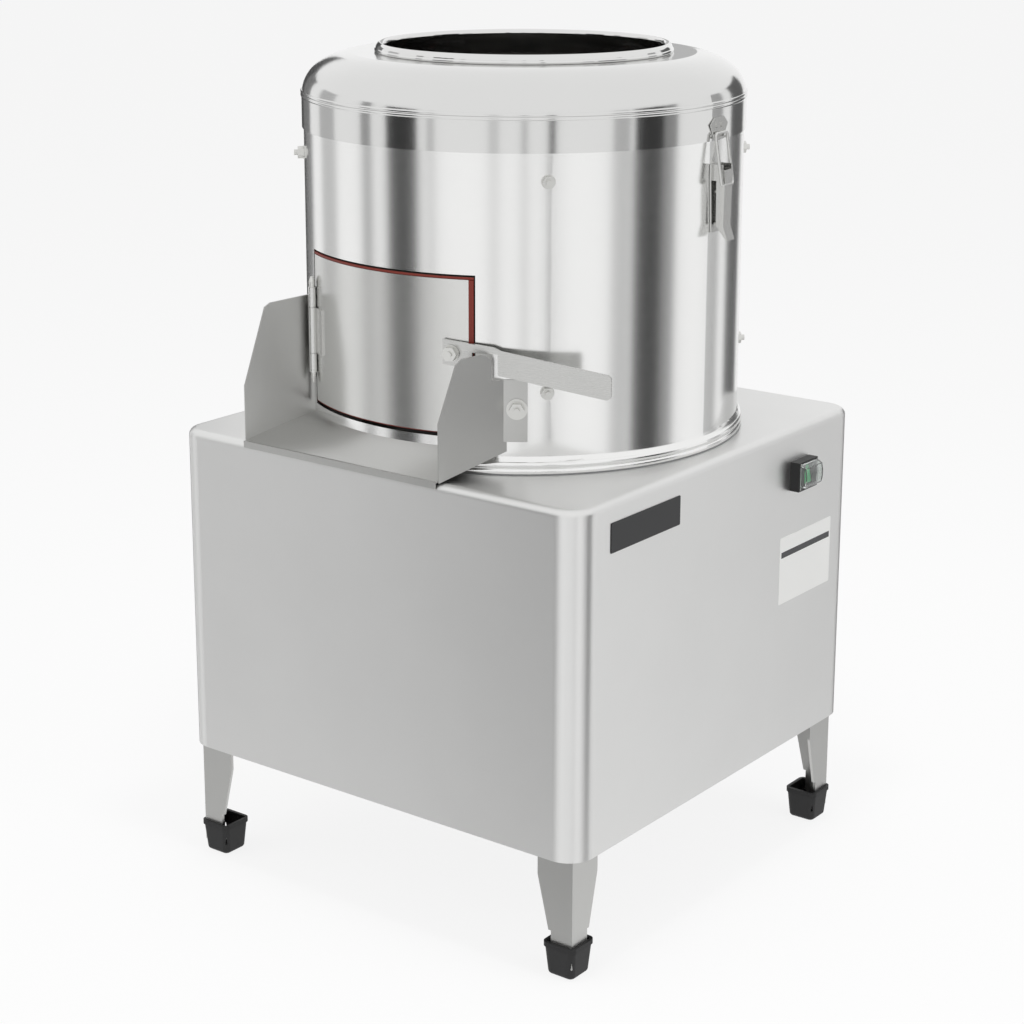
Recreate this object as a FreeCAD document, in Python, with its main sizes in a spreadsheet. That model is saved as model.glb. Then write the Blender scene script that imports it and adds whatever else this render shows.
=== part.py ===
import FreeCAD, Part
import math
import os
import re

import Sketcher
from FreeCAD import Placement, Rotation, Vector

# Electric potato peeler, millimetres, +Z up.
# Drawn about the tub's own axis, floor at zero. The chute faces -Y, the switch +X.
# Angles round the tub are measured from -Y towards +X.
# The finished files are moved so that the origin lies under the middle of the whole machine.

os.makedirs("parts", exist_ok=True)
doc = FreeCAD.newDocument("PotatoPeeler")
sheet = doc.addObject("Spreadsheet::Sheet", "Sizes")

SIZES = {
    # cabinet
    "CabinetWidth": 518, "CabinetDepth": 520, "CabinetBottom": 127.5, "CabinetTop": 481,
    "CabinetCorner": 28, "TopBend": 8, "CabinetSheet": 1.5,
    # legs and feet
    "LegInset": 11, "LegWing": 42, "LegNeck": 25.5, "LegSteel": 3, "LegTaperTop": 103,
    "LegTaperLow": 47, "FootFloor": 12, "FootCavity": 31, "FootTop": 36, "FootBase": 31,
    "FootHeight": 35, "FootRim": 1, "FootGap": 0.2, "FootScrew": 3,
    # base frame and drive
    "FrameLow": 175, "FrameTop": 209, "FrameSteel": 3, "FrameFlange": 26,
    "PlateSteel": 6, "MotorOffset": 150, "MotorRadius": 62, "MotorLength": 150,
    "MotorShaft": 8, "ShaftRadius": 12.5, "PulleyLarge": 75, "PulleySmall": 32, "PulleyWidth": 22,
    "BeltWidth": 10, "BeltHeight": 8, "BearingOuter": 26, "BearingWidth": 15, "HousingLow": 262,
    "HousingWall": 7, "FlangeRadius": 62, "RunningGap": 0.03,
    # tub
    "TubRadius": 228, "TubWall": 1.5, "TubTop": 820, "RingOut": 4.5, "BeadHeight": 6.5,
    "FloorLow": 484, "FloorSheet": 2, "LinerThick": 5, "LinerLow": 514, "LinerTop": 800,
    "DiscRadius": 215, "DiscLow": 498, "DiscThick": 8, "DiscWave": 11, "DiscWaveRadius": 30,
    "BoltAngle": 42.7, "BoltRowTop": 768, "BoltRowLow": 563, "BoltRadius": 3, "NutFlats": 11,
    # discharge door
    "DoorLeft": 31.5, "DoorRight": 23.5, "DoorLow": 520, "DoorTop": 672.5, "DoorSheet": 2,
    "SealWidth": 4, "SealThick": 3, "DoorGap": 0.6, "HingeAngle": 31.1, "HingeOut": 4.6,
    "KnuckleRadius": 4, "HingePin": 2, "HingeLow": 550, "HingeTop": 639,
    "DoorKnuckleLow": 570.4, "DoorKnuckleTop": 617.8, "HingeTips": 11,
    # door lever
    "PivotAngle": 19.5, "PivotHeight": 601, "LeverStandOff": 2, "LeverSteel": 3,
    "LeverHeight": 24.5, "LeverDroop": 8.5, "LeverTail": 9, "LeverLength": 160,
    "NotchStart": 21, "NotchEnd": 47, "NotchTop": 1.6,
    # chute
    "ChuteLeftX": -163, "ChuteRightX": 91, "ChuteSlant": 65.3, "ChuteSheet": 2,
    "ChuteLip": 5, "ChuteFloorRear": 506, "CheekLeftTop": 143, "CheekRightTop": 122,
    "CheekFront": 59,
    # lid
    "LidGap": 0.3, "LidSheet": 1.5, "BandLow": 795, "BeadLow": 826, "DomeLow": 833,
    "DomeTop": 870.5, "OpeningRadius": 145, "CollarOut": 153.5, "OverallHeight": 880,
    # toggle latches
    "LatchBaseLow": 704, "LatchBaseTop": 772, "LatchBaseHalf": 12, "LatchPivot": 762,
    "LatchPivotOut": 9, "BailPivot": 752, "BailPivotOut": 13.5, "BailWire": 1.6, "BailBend": 3,
    "BailHalf": 11.2, "LatchLeverLow": 697, "LatchLeverHalf": 7.5, "LatchSheet": 1.5,
    "LatchAngle": 93, "KeeperLow": 797, "KeeperTop": 818, "KeeperLedge": 3.6, "KeeperHalf": 17,
    "KeeperSheet": 1.4, "BailClear": 1.8,
    # switch, gland and pipes
    "SwitchY": 143.5, "SwitchZ": 430.5, "SwitchWide": 38, "SwitchTall": 31.5, "SwitchOut": 11,
    "RockerWide": 13, "RockerTall": 21.5, "DrainRadius": 20, "DrainWall": 2, "DrainX": 120,
    "DrainY": 120, "DrainZ": 400, "DrainOut": 45, "DrainFlange": 3, "InletRadius": 8, "InletZ": 768, "InletOut": 45,
    "GlandX": -150, "GlandZ": 240, "GlandRadius": 11,
}
for row, (alias, number) in enumerate(SIZES.items(), start=1):
    sheet.set("A%d" % row, alias)
    sheet.set("B%d" % row, str(number))
    sheet.setAlias("B%d" % row, alias)
doc.recompute()

PARTS = []


def linked(formula):
    """Write a formula with the sheet's name before each of its values."""
    return re.sub(r"[A-Za-z_]\w*", lambda m: "Sizes." + m[0] if m[0] in SIZES else m[0], str(formula))


def val(formula):
    """Give a formula's number in millimetres or degrees."""
    return float(sheet.evalExpression(str(formula)))


def bind(item, **formulas):
    """Bind properties of an object to formulas of the sheet's values."""
    for prop, formula in formulas.items():
        item.setExpression(prop, linked(formula))
    return item


def place(item, x=0, y=0, z=0, turn=None):
    """Place an object at formulas for its position, with a turn."""
    item.Placement = Placement(Vector(val(x), val(y), val(z)), turn or Rotation())
    bind(item, **{"Placement.Base.x": x, "Placement.Base.y": y, "Placement.Base.z": z})
    return item


ALONG_X = Rotation(Vector(0, 1, 0), 90)
ALONG_Y = Rotation(Vector(1, 0, 0), -90)


def around(angle):
    """Turn that takes the -Y side of the tub to an angle round it."""
    return Rotation(Vector(0, 0, 1), val(angle))


def add(kind, name):
    return doc.addObject(kind, name)


def box(name, dx, dy, dz, x, y, z, turn=None):
    item = bind(add("Part::Box", name), Length=dx, Width=dy, Height=dz)
    return place(item, x, y, z, turn)


def rod(name, radius, length, x=0, y=0, z=0, turn=None, seat=None):
    """Cylinder at a formula position, or at a ready placement."""
    item = bind(add("Part::Cylinder", name), Radius=radius, Height=length)
    if seat is None:
        return place(item, x, y, z, turn)
    item.Placement = seat
    return item


def prism(name, flats, height, x=0, y=0, z=0, turn=None):
    item = bind(add("Part::Prism", name), Circumradius="(%s) / sqrt(3)" % flats, Height=height)
    item.Polygon = 6
    return place(item, x, y, z, turn)


def fuse(name, *pieces):
    item = add("Part::MultiFuse", name)
    item.Shapes = list(pieces)
    item.Refine = True
    return item


def cut(name, base, *tools):
    item = add("Part::Cut", name)
    item.Base = base
    item.Tool = tools[0] if len(tools) == 1 else fuse(name + "_tools", *tools)
    item.Refine = False
    return item


def common(name, one, other):
    item = add("Part::Common", name)
    item.Base = one
    item.Tool = other
    return item


def sector(name, inner, outer, low, top, start, end):
    """Curved slab of the tub between two radii, two heights and two angles."""
    pieces = []
    for suffix, radius in (("_out", outer), ("_in", inner)):
        item = rod(name + suffix, radius, "(%s) - (%s)" % (top, low), z=low,
                   turn=Rotation(Vector(0, 0, 1), val(start) - 90))
        bind(item, Angle="(%s) - (%s)" % (end, start))
        pieces.append(item)
    return cut(name, *pieces)


def arc_centre(start, end, radius, left):
    """Centre of an arc from start to end that turns left or right."""
    mid = (start + end) * 0.5
    half = (end - start) * 0.5
    rise = math.sqrt(max(radius ** 2 - half.Length ** 2, 0.0))
    side = Vector(-half.y, half.x, 0).normalize() * rise
    return mid + side if left else mid - side


def outline(body, plane, points):
    """Closed sketch through points of formulas; a third and fourth value make an arc to the point."""
    sketch = body.newObject("Sketcher::SketchObject", body.Name + "_outline")
    origin = [o for o in body.Origin.OriginFeatures if o.Role == plane][0]
    sketch.AttachmentSupport = [(origin, "")]
    sketch.MapMode = "FlatFace"
    corners = [Vector(val(p[0]), val(p[1]), 0) for p in points]
    ends = []
    for i, start in enumerate(corners):
        target = points[(i + 1) % len(points)]
        end = corners[(i + 1) % len(points)]
        if len(target) == 2:
            sketch.addGeometry(Part.LineSegment(start, end), False)
            ends.append((1, 2))
            continue
        radius = val(target[2])
        left = target[3] == "left"
        centre = arc_centre(start, end, radius, left)
        first, last = (start, end) if left else (end, start)
        angles = [math.atan2(p.y - centre.y, p.x - centre.x) for p in (first, last)]
        circle = Part.Circle(centre, Vector(0, 0, 1), radius)
        sketch.addGeometry(Part.ArcOfCircle(circle, angles[0], angles[1]), False)
        ends.append((1, 2) if left else (2, 1))
    for i, point in enumerate(points):
        before = (i - 1) % len(points)
        sketch.addConstraint(Sketcher.Constraint("Coincident", before, ends[before][1], i, ends[i][0]))
        for kind, formula, number in (("DistanceX", point[0], corners[i].x),
                                      ("DistanceY", point[1], corners[i].y)):
            index = sketch.addConstraint(Sketcher.Constraint(kind, i, ends[i][0], number))
            sketch.setExpression("Constraints[%d]" % index, linked(formula))
        target = points[(i + 1) % len(points)]
        if len(target) > 2:
            index = sketch.addConstraint(Sketcher.Constraint("Radius", i, val(target[2])))
            sketch.setExpression("Constraints[%d]" % index, linked(target[2]))
    return sketch


def turned(name, points):
    """Body turned about its own Z axis from an outline of radius and height."""
    body = add("PartDesign::Body", name)
    sketch = outline(body, "XZ_Plane", points)
    spin = body.newObject("PartDesign::Revolution", name + "_turn")
    spin.Profile = sketch
    spin.ReferenceAxis = (sketch, ["V_Axis"])
    spin.Angle = 360
    return body


def padded(name, plane, points, depth, middle=False, back=False):
    """Body padded from an outline on one of its own planes."""
    body = add("PartDesign::Body", name)
    sketch = outline(body, plane, points)
    pad = body.newObject("PartDesign::Pad", name + "_pad")
    pad.Profile = sketch
    bind(pad, Length=depth)
    pad.Midplane = middle
    pad.Reversed = back
    doc.recompute()
    return body


def rounded(body, picker, radius):
    """Fillet the edges of a body's tip that a test picks."""
    doc.recompute()
    tip = body.Tip
    names = ["Edge%d" % (i + 1) for i, e in enumerate(tip.Shape.Edges) if picker(e)]
    feature = body.newObject("PartDesign::Fillet", body.Name + "_round")
    feature.Base = (tip, names)
    bind(feature, Radius=radius)
    doc.recompute()
    return body


def upright(edge):
    box_ = edge.BoundBox
    return box_.XLength < 1e-6 and box_.YLength < 1e-6


def level_at(height):
    return lambda e: abs(e.BoundBox.ZMin - height) < 1e-6 and abs(e.BoundBox.ZMax - height) < 1e-6


def node(label, item):
    """Name a finished sub-part and list it for export."""
    item.Label = label
    PARTS.append(item)
    return item


def scatter(label, master, placements):
    """Group of copies of one finished piece, each at its own placement."""
    doc.recompute()
    group = add("Part::Feature", label)
    group.Shape = Part.Compound([master.Shape.transformed(p.toMatrix(), True) for p in placements])
    return node(label, group)


def rectangle(width, depth):
    return [("-(%s) / 2" % width, "-(%s) / 2" % depth), ("(%s) / 2" % width, "-(%s) / 2" % depth),
            ("(%s) / 2" % width, "(%s) / 2" % depth), ("-(%s) / 2" % width, "(%s) / 2" % depth)]


def sheet_block(name, inset, low, top, corner, bend):
    """Upright block with rounded corners and a rounded top edge."""
    body = padded(name, "XY_Plane", rectangle("CabinetWidth - 2 * (%s)" % inset,
                                              "CabinetDepth - 2 * (%s)" % inset),
                  "(%s) - (%s)" % (top, low))
    rounded(body, upright, corner)
    height = val("(%s) - (%s)" % (top, low))
    if bend:
        rounded(body, level_at(height), bend)
    return place(body, z=low)


def radial(angle, radius, height, spin=0):
    """Placement on the tub whose own Z axis points away from the tub's axis."""
    turn = Rotation(Vector(0, 0, 1), val(angle)).multiply(Rotation(Vector(1, 0, 0), 90))
    out = Rotation(Vector(0, 0, 1), val(angle)).multVec(Vector(0, -val(radius), val(height)))
    return Placement(out, turn.multiply(Rotation(Vector(0, 0, 1), spin)))


# Cabinet: one folded sheet box, open below, with a return flange round its bottom edge.
outer = sheet_block("cabinet_outer", 0, "CabinetBottom", "CabinetTop", "CabinetCorner", "TopBend")
inner = sheet_block("cabinet_inner", "CabinetSheet", "CabinetBottom + CabinetSheet",
                    "CabinetTop - CabinetSheet", "CabinetCorner - CabinetSheet",
                    "TopBend - CabinetSheet")
mouth = box("cabinet_mouth", "CabinetWidth - 2 * LegInset", "CabinetDepth - 2 * LegInset", "3 * CabinetSheet",
            "LegInset - CabinetWidth / 2", "LegInset - CabinetDepth / 2", "CabinetBottom - CabinetSheet")
neck_hole = rod("cabinet_neck_hole", "BearingOuter + HousingWall", 30, z="CabinetTop - 15")
drain_hole = rod("cabinet_drain_hole", "DrainRadius", 30, "DrainX", "DrainY", "CabinetTop - 15")
drain_side = rod("cabinet_drain_side", "DrainRadius", 30, "DrainX", "CabinetDepth / 2 - 15", "DrainZ", ALONG_Y)
gland_hole = rod("cabinet_gland_hole", "GlandRadius - 3", 30, "GlandX", "CabinetDepth / 2 - 15", "GlandZ",
                 ALONG_Y)
switch_hole = box("cabinet_switch_hole", 20, "SwitchWide - 8", "SwitchTall - 8", "CabinetWidth / 2 - 10",
                  "SwitchY - SwitchWide / 2 + 4", "SwitchZ - SwitchTall / 2 + 4")
node("cabinet_shell", cut("cabinet_shell", outer, inner, mouth, neck_hole, drain_hole, drain_side, gland_hole,
                          switch_hole))

# Legs: angles of sheet, straight above, tapered below, with a tab that the foot is screwed to.
LEG_CORNERS = (("front_right", 1, -1, 0), ("rear_right", 1, 1, 90), ("rear_left", -1, 1, 180),
               ("front_left", -1, -1, 270))
foot_middle = "FootCavity / 2 - FootGap"
for side, sx, sy, turn in LEG_CORNERS:
    wing = [(0, "FootFloor"), (0, "FrameTop"), ("-LegWing", "FrameTop"), ("-LegWing", "LegTaperTop"),
            ("-LegNeck - 3", "LegTaperLow"), ("-LegNeck", "LegTaperLow"), ("-LegNeck", "FootFloor")]
    body = padded("leg_%s_wing" % side, "XZ_Plane", wing, "LegSteel", back=True)
    flip = [("-(%s)" % x if x != 0 else 0, z) for x, z in wing]
    other = padded("leg_%s_side" % side, "YZ_Plane", flip, "LegSteel", back=True)
    tab = box("leg_%s_tab" % side, "LegNeck", "LegNeck", "LegSteel", "-LegNeck", 0, "FootFloor")
    bore = rod("leg_%s_bore" % side, "FootScrew", 40, "-(%s)" % foot_middle, foot_middle, 0)
    leg = cut("leg_" + side, fuse("leg_%s_angle" % side, body, other, tab), bore)
    node("leg_" + side, place(leg, "%d * (CabinetWidth / 2 - LegInset)" % sx,
                              "%d * (CabinetDepth / 2 - LegInset)" % sy, 0, Rotation(Vector(0, 0, 1), turn)))

# Feet: tapered square rubber cups with a raised rim, open above round the leg.
foot_places = []
for side, sx, sy, turn in LEG_CORNERS:
    cup = bind(add("Part::Wedge", "foot_%s_cup" % side), Xmin="-FootBase / 2", Xmax="FootBase / 2",
               Ymin=0, Ymax="FootHeight - 5", Zmin="-FootBase / 2", Zmax="FootBase / 2", X2min="-FootTop / 2",
               X2max="FootTop / 2", Z2min="-FootTop / 2", Z2max="FootTop / 2")
    cup.Placement = Placement(Vector(), Rotation(Vector(1, 0, 0), 90))
    doc.recompute()
    soft = add("Part::Fillet", "foot_%s_soft" % side)
    soft.Base = cup
    slanted = [i + 1 for i, e in enumerate(cup.Shape.Edges) if e.BoundBox.ZLength > 1]
    low = [i + 1 for i, e in enumerate(cup.Shape.Edges) if e.BoundBox.ZMax < 1e-6]
    soft.Edges = [(i, val("FootBase / 5"), val("FootBase / 5")) for i in slanted] + [
        (i, val("FootBase / 8"), val("FootBase / 8")) for i in low]
    rim = padded("foot_%s_rim" % side, "XY_Plane", rectangle("FootTop + 2 * FootRim", "FootTop + 2 * FootRim"), 5)
    rounded(rim, upright, "FootBase / 5")
    place(rim, z="FootHeight - 5")
    cavity = padded("foot_%s_cavity" % side, "XY_Plane", rectangle("FootCavity", "FootCavity"), "FootHeight")
    rounded(cavity, upright, "3 * FootGap")
    place(cavity, z="FootFloor")
    bore = rod("foot_%s_bore" % side, "FootScrew", "FootFloor", z="FootFloor / 3")
    foot = cut("foot_" + side, fuse("foot_%s_body" % side, soft, rim), cavity, bore)
    x = "%d * (CabinetWidth / 2 - LegInset - (%s))" % (sx, foot_middle)
    y = "%d * (CabinetDepth / 2 - LegInset - (%s))" % (sy, foot_middle)
    node("foot_" + side, place(foot, x, y, 0))
    foot_places.append(Placement(Vector(val(x), val(y), 0), Rotation()))
screw = turned("foot_screw", [(0, "FootFloor / 3"), ("FootScrew", "FootFloor / 3"),
                              ("FootScrew", "FootFloor + LegSteel"), ("FootScrew * 2", "FootFloor + LegSteel"),
                              ("FootScrew * 2", "FootFloor + LegSteel + 1.5"), (0, "FootFloor + LegSteel + 4")])
scatter("foot_screws", screw, foot_places)

# Base frame: welded angle rails between the legs, with the motor plate across their top.
span_x = "CabinetWidth - 2 * LegInset - 2 * LegSteel"
span_y = "CabinetDepth - 2 * LegInset - 2 * LegSteel"


def centred(name, width, depth, low, top):
    return box(name, width, depth, "(%s) - (%s)" % (top, low), "-(%s) / 2" % width, "-(%s) / 2" % depth, low)


rails = centred("frame_rails", span_x, span_y, "FrameLow", "FrameTop")
inside = centred("frame_inside", "(%s) - 2 * FrameSteel" % span_x, "(%s) - 2 * FrameSteel" % span_y,
                 "FrameLow", "FrameTop - FrameSteel")
window = centred("frame_window", "(%s) - 2 * FrameFlange" % span_x, "(%s) - 2 * FrameFlange" % span_y,
                 "FrameTop - 2 * FrameSteel", "FrameTop + 1")
node("base_frame", cut("base_frame", rails, inside, window))
plate = box("plate_sheet", "MotorOffset + 25", span_y, "PlateSteel", "-(%s) / 2" % span_x,
            "-(%s) / 2" % span_y, "FrameTop")
plate_bore = rod("plate_bore", "MotorShaft + 12", 30, "-MotorOffset", 0, "FrameTop - 10")
node("motor_plate", cut("motor_plate", plate, plate_bore))

# Motor: finned can with end bell and fan cover, shaft down through the plate.
motor_low = "FrameTop + PlateSteel"
can = turned("motor_can", [("MotorShaft + RunningGap", 0), ("MotorRadius + 10", 0), ("MotorRadius + 10", 8),
                           ("MotorRadius", 8), ("MotorRadius", "MotorLength - 30"),
                           ("MotorRadius - 6", "MotorLength - 24"), ("MotorShaft + RunningGap", "MotorLength - 24")])
place(can, "-MotorOffset", 0, motor_low)
fins = []
for k in range(16):
    fin = box("motor_fin_%d" % k, 6, 2.5, "MotorLength - 50", 0, 0, 0)
    turn = Rotation(Vector(0, 0, 1), k * 22.5 + 11.25)
    offset = turn.multVec(Vector(val("MotorRadius") - 1, -1.25, 0))
    fins.append(place(fin, "-MotorOffset + %.4f" % offset.x, "%.4f" % offset.y, "%s + 14" % motor_low, turn))
node("motor_body", fuse("motor_body", can, *fins))
cover = turned("fan_cover", [("MotorRadius + 0.05", -8), ("MotorRadius + 3", -8), ("MotorRadius + 3", 28),
                             ("MotorRadius - 3", 36), ("MotorShaft", 36), ("MotorShaft", 34),
                             ("MotorRadius - 4", 34), ("MotorRadius + 0.05", 28)])
node("motor_fan_cover", place(cover, "-MotorOffset", 0, "%s + MotorLength - 24" % motor_low))
terminal = box("terminal_box", 50, 34, 60, "-MotorOffset - 25",
               "(MotorRadius + 5) * cos(11.25) + 1.25 * sin(11.25) + 0.05", "%s + 40" % motor_low)
node("motor_terminal_box", terminal)
rotor = turned("rotor", [(0, "FrameTop - 32"), ("MotorShaft", "FrameTop - 32"),
                         ("MotorShaft", "%s + MotorLength - 26" % motor_low), (0, "%s + MotorLength - 26" % motor_low)])
node("motor_shaft", place(rotor, "-MotorOffset"))
belt_middle = "FrameTop - 19"


def pulley(name, radius, bore):
    """Grooved pulley whose groove floor lies a little under the belt."""
    rim_half = "PulleyWidth / 2"
    body = turned(name, [(bore, "-%s" % rim_half), (radius, "-%s" % rim_half), (radius, "-BeltWidth / 2 - 1"),
                         ("(%s) - BeltHeight - 2" % radius, "-BeltWidth / 2 + 1.5"),
                         ("(%s) - BeltHeight - 2" % radius, "BeltWidth / 2 - 1.5"),
                         (radius, "BeltWidth / 2 + 1"), (radius, rim_half), (bore, rim_half)])
    return body


node("motor_pulley", place(pulley("small_pulley", "PulleySmall", "MotorShaft"), "-MotorOffset", 0, belt_middle))
node("driven_pulley", place(pulley("large_pulley", "PulleyLarge", "ShaftRadius"), 0, 0, belt_middle))


def belt_loop(grow, half):
    """Closed belt outline round both pulleys, as one flat solid."""
    big = val("PulleyLarge") - grow
    small = val("PulleySmall") - grow
    gap = val("MotorOffset")
    tilt = math.acos((big - small) / gap)
    points = []
    for centre, radius, sign in ((0, big, 1), (-gap, small, 1)):
        points.append([Vector(centre - radius * math.cos(tilt), sign * radius * math.sin(tilt), 0),
                       Vector(centre - radius * math.cos(tilt), -radius * math.sin(tilt), 0)])
    (a, b), (c, d) = points
    edges = [Part.Arc(b, Vector(big, 0, 0), a).toShape(), Part.LineSegment(a, c).toShape(),
             Part.Arc(c, Vector(-gap - small, 0, 0), d).toShape(), Part.LineSegment(d, b).toShape()]
    face = Part.Face(Part.Wire(edges))
    face.translate(Vector(0, 0, val(belt_middle) - half))
    return face.extrude(Vector(0, 0, 2 * half))


belt = add("Part::Feature", "v_belt")
belt_half = val("BeltWidth") / 2 - 2
belt.Shape = belt_loop(0.5, belt_half).cut(belt_loop(0.5 + val("BeltHeight"), belt_half))
node("v_belt", belt)
motor_bolt = turned("motor_bolt", [(0, 0), (4, 0), (4, 4), (0, 5)])
bolt_turns = [Rotation(Vector(0, 0, 1), 45 + 90 * k) for k in range(4)]
motor_seat = Vector(-val("MotorOffset"), 0, val(motor_low) + 8)
scatter("motor_bolts", motor_bolt, [Placement(motor_seat + t.multVec(Vector(val("MotorRadius + 5"), 0, 0)), t)
                                    for t in bolt_turns])

# Main shaft in its bearing housing under the cabinet's top.
housing = turned("housing", [("BearingOuter", "HousingLow"), ("BearingOuter + HousingWall", "HousingLow"),
                             ("BearingOuter + HousingWall", "CabinetTop - CabinetSheet - 10"),
                             ("FlangeRadius", "CabinetTop - CabinetSheet - 10"),
                             ("FlangeRadius", "CabinetTop - CabinetSheet"),
                             ("BearingOuter + HousingWall", "CabinetTop - CabinetSheet"),
                             ("BearingOuter + HousingWall", "FloorLow + FloorSheet"),
                             ("BearingOuter", "FloorLow + FloorSheet")])
node("bearing_housing", housing)
for label, low in (("bearing_lower", "HousingLow"), ("bearing_upper", "FloorLow + FloorSheet - BearingWidth - 3")):
    ring = turned(label + "_ring", [("ShaftRadius + RunningGap", 0), ("BearingOuter", 0),
                                    ("BearingOuter", "BearingWidth"), ("BearingOuter - 6", "BearingWidth"),
                                    ("BearingOuter - 6", "BearingWidth - 2"),
                                    ("ShaftRadius + 4", "BearingWidth - 2"), ("ShaftRadius + 4", "BearingWidth"),
                                    ("ShaftRadius + RunningGap", "BearingWidth")])
    node(label, place(ring, z=low))
shaft_low = "%s - PulleyWidth / 2 - 4" % belt_middle
node("main_shaft", turned("shaft", [(0, shaft_low), ("ShaftRadius", shaft_low), ("ShaftRadius", "DiscLow - 6"),
                                    ("ShaftRadius - 3", "DiscLow - 6"), ("ShaftRadius - 3", "DiscLow + DiscThick + 8"),
                                    (0, "DiscLow + DiscThick + 8")]))
disc_plate = turned("disc_plate", [("ShaftRadius - 3", "DiscLow - 6"), ("ShaftRadius + 16", "DiscLow - 6"),
                                   ("ShaftRadius + 20", "DiscLow"), ("DiscRadius - 2", "DiscLow"),
                                   ("DiscRadius", "DiscLow + 2"), ("DiscRadius", "DiscLow + DiscThick - 2"),
                                   ("DiscRadius - 2", "DiscLow + DiscThick"),
                                   ("ShaftRadius - 3", "DiscLow + DiscThick")])
waves = []
for k in range(3):
    turn = Rotation(Vector(0, 0, 1), 120 * k + 20).multiply(ALONG_X)
    start = Rotation(Vector(0, 0, 1), 120 * k + 20).multVec(Vector(val("ShaftRadius + 32"), 0, 0))
    hump = rod("disc_hump_%d" % k, "DiscWaveRadius", "DiscRadius - ShaftRadius - 42", "%.4f" % start.x,
               "%.4f" % start.y, "DiscLow + DiscThick + DiscWave - DiscWaveRadius", turn)
    waves.append(hump)
above = rod("disc_above", "DiscRadius", "DiscWave + 20", z="DiscLow + DiscThick / 2")
node("abrasive_disc", fuse("abrasive_disc", disc_plate, common("disc_waves", fuse("disc_humps", *waves), above)))
disc_nut = cut("disc_nut", prism("disc_nut_hex", 30, 8, z="DiscLow + DiscThick"),
               rod("disc_nut_bore", "ShaftRadius - 3", 20, z="DiscLow + DiscThick - 5"))
node("disc_nut", disc_nut)

# Tub: rolled drum with the discharge opening, base ring, floor and abrasive lining.
opening_low = "DoorLow - SealWidth - DoorGap"
opening_top = "DoorTop + SealWidth + DoorGap"
opening_right = "DoorRight + 1.65"
opening_left = "-DoorLeft - 1"
opening = sector("tub_opening", "TubRadius - 20", "TubRadius + 20", opening_low, opening_top, opening_left,
                 opening_right)


def bolt_bores(name, radius):
    """Bores through the tub for the lining's bolts."""
    bores = []
    for k in range(4):
        for row_name, height in (("top", "BoltRowTop"), ("low", "BoltRowLow")):
            seat = radial("BoltAngle + %d" % (90 * k), "TubRadius - 20", height)
            bore = rod("%s_%s_%d" % (name, row_name, k), radius, 40, seat=seat)
            bores.append(bore)
    return bores


inlet_bore = rod("tub_inlet_bore", "InletRadius", 60, seat=radial(180, "TubRadius - 30", "InletZ"))
wall = turned("tub_shell", [("TubRadius - TubWall", "CabinetTop"), ("TubRadius", "CabinetTop"),
                            ("TubRadius", "TubTop"), ("TubRadius - TubWall", "TubTop")])
node("tub_wall", cut("tub_wall", wall, opening, inlet_bore, *bolt_bores("wall_bore", "BoltRadius")))
ring = turned("base_ring", [("TubRadius", "CabinetTop"), ("TubRadius + RingOut - 1", "CabinetTop"),
                            ("TubRadius + RingOut - 1", "CabinetTop + BeadHeight", "BeadHeight / 2 + 0.6", "left"),
                            ("TubRadius + RingOut - 1.5", "CabinetTop + 2 * BeadHeight", "BeadHeight / 2 + 0.6",
                             "left"),
                            ("TubRadius", "CabinetTop + 2 * BeadHeight + 5", 9, "right")])
node("tub_base_ring", ring)
pan = turned("pan", [("BearingOuter + HousingWall", "FloorLow"), ("TubRadius - TubWall", "FloorLow"),
                     ("TubRadius - TubWall", "FloorLow + FloorSheet"),
                     ("BearingOuter + HousingWall", "FloorLow + FloorSheet")])
pan_hole = rod("pan_hole", "DrainRadius", 20, "DrainX", "DrainY", "FloorLow - 10")
node("tub_floor", cut("tub_floor", pan, pan_hole))
lining = turned("lining", [("TubRadius - TubWall - LinerThick", "LinerLow"), ("TubRadius - TubWall", "LinerLow"),
                           ("TubRadius - TubWall", "LinerTop"), ("TubRadius - TubWall - LinerThick", "LinerTop")])
lining_gap = sector("lining_gap", "TubRadius - 20", "TubRadius + 20", "LinerLow - 5", "DoorTop + SealWidth + 6",
                    "-DoorLeft - 3.5", "DoorRight + 4")
inlet_gap = rod("lining_inlet_bore", "InletRadius", 60, seat=radial(180, "TubRadius - 30", "InletZ"))
node("abrasive_liner", cut("abrasive_liner", lining, lining_gap, inlet_gap, *bolt_bores("lining_bore", "BoltRadius")))


def through_bolt(name, grip, flats, radius):
    """Bolt from inside through a sheet at z = 0, with washer and hex nut outside."""
    head = rod(name + "_head", "2.1 * (%s)" % radius, 2, z="-(%s) - 2.1" % grip)
    shank = rod(name + "_shank", radius, "(%s) + 10.6" % grip, z="-(%s) - 0.1" % grip)
    washer = rod(name + "_washer", "0.63 * (%s)" % flats, 1.2)
    nut = prism(name + "_nut", flats, 5.5, z=1.2)
    return fuse(name, head, shank, washer, nut)


liner_bolt = through_bolt("liner_bolt", "TubWall + LinerThick", "NutFlats", "BoltRadius")
scatter("liner_bolts", liner_bolt, [radial("BoltAngle + %d" % (90 * k), "TubRadius", height, 13 * k)
                                    for k in range(4) for height in ("BoltRowTop", "BoltRowLow")])

# Chute: sloping floor between two parallel upright cheeks that slant across the front.
slant = math.radians(val("ChuteSlant"))
along = Vector(math.cos(slant), math.sin(slant), 0)
across = Vector(-math.sin(slant), math.cos(slant), 0)
front = -val("CabinetDepth") / 2
reach = val("TubRadius")


def meet(x, radius):
    """Distance along a cheek line from the cabinet's front to a circle round the tub's axis."""
    start = Vector(x, front, 0)
    b = start.dot(along)
    c = start.dot(start) - radius ** 2
    return -b - math.sqrt(b * b - c)


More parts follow.
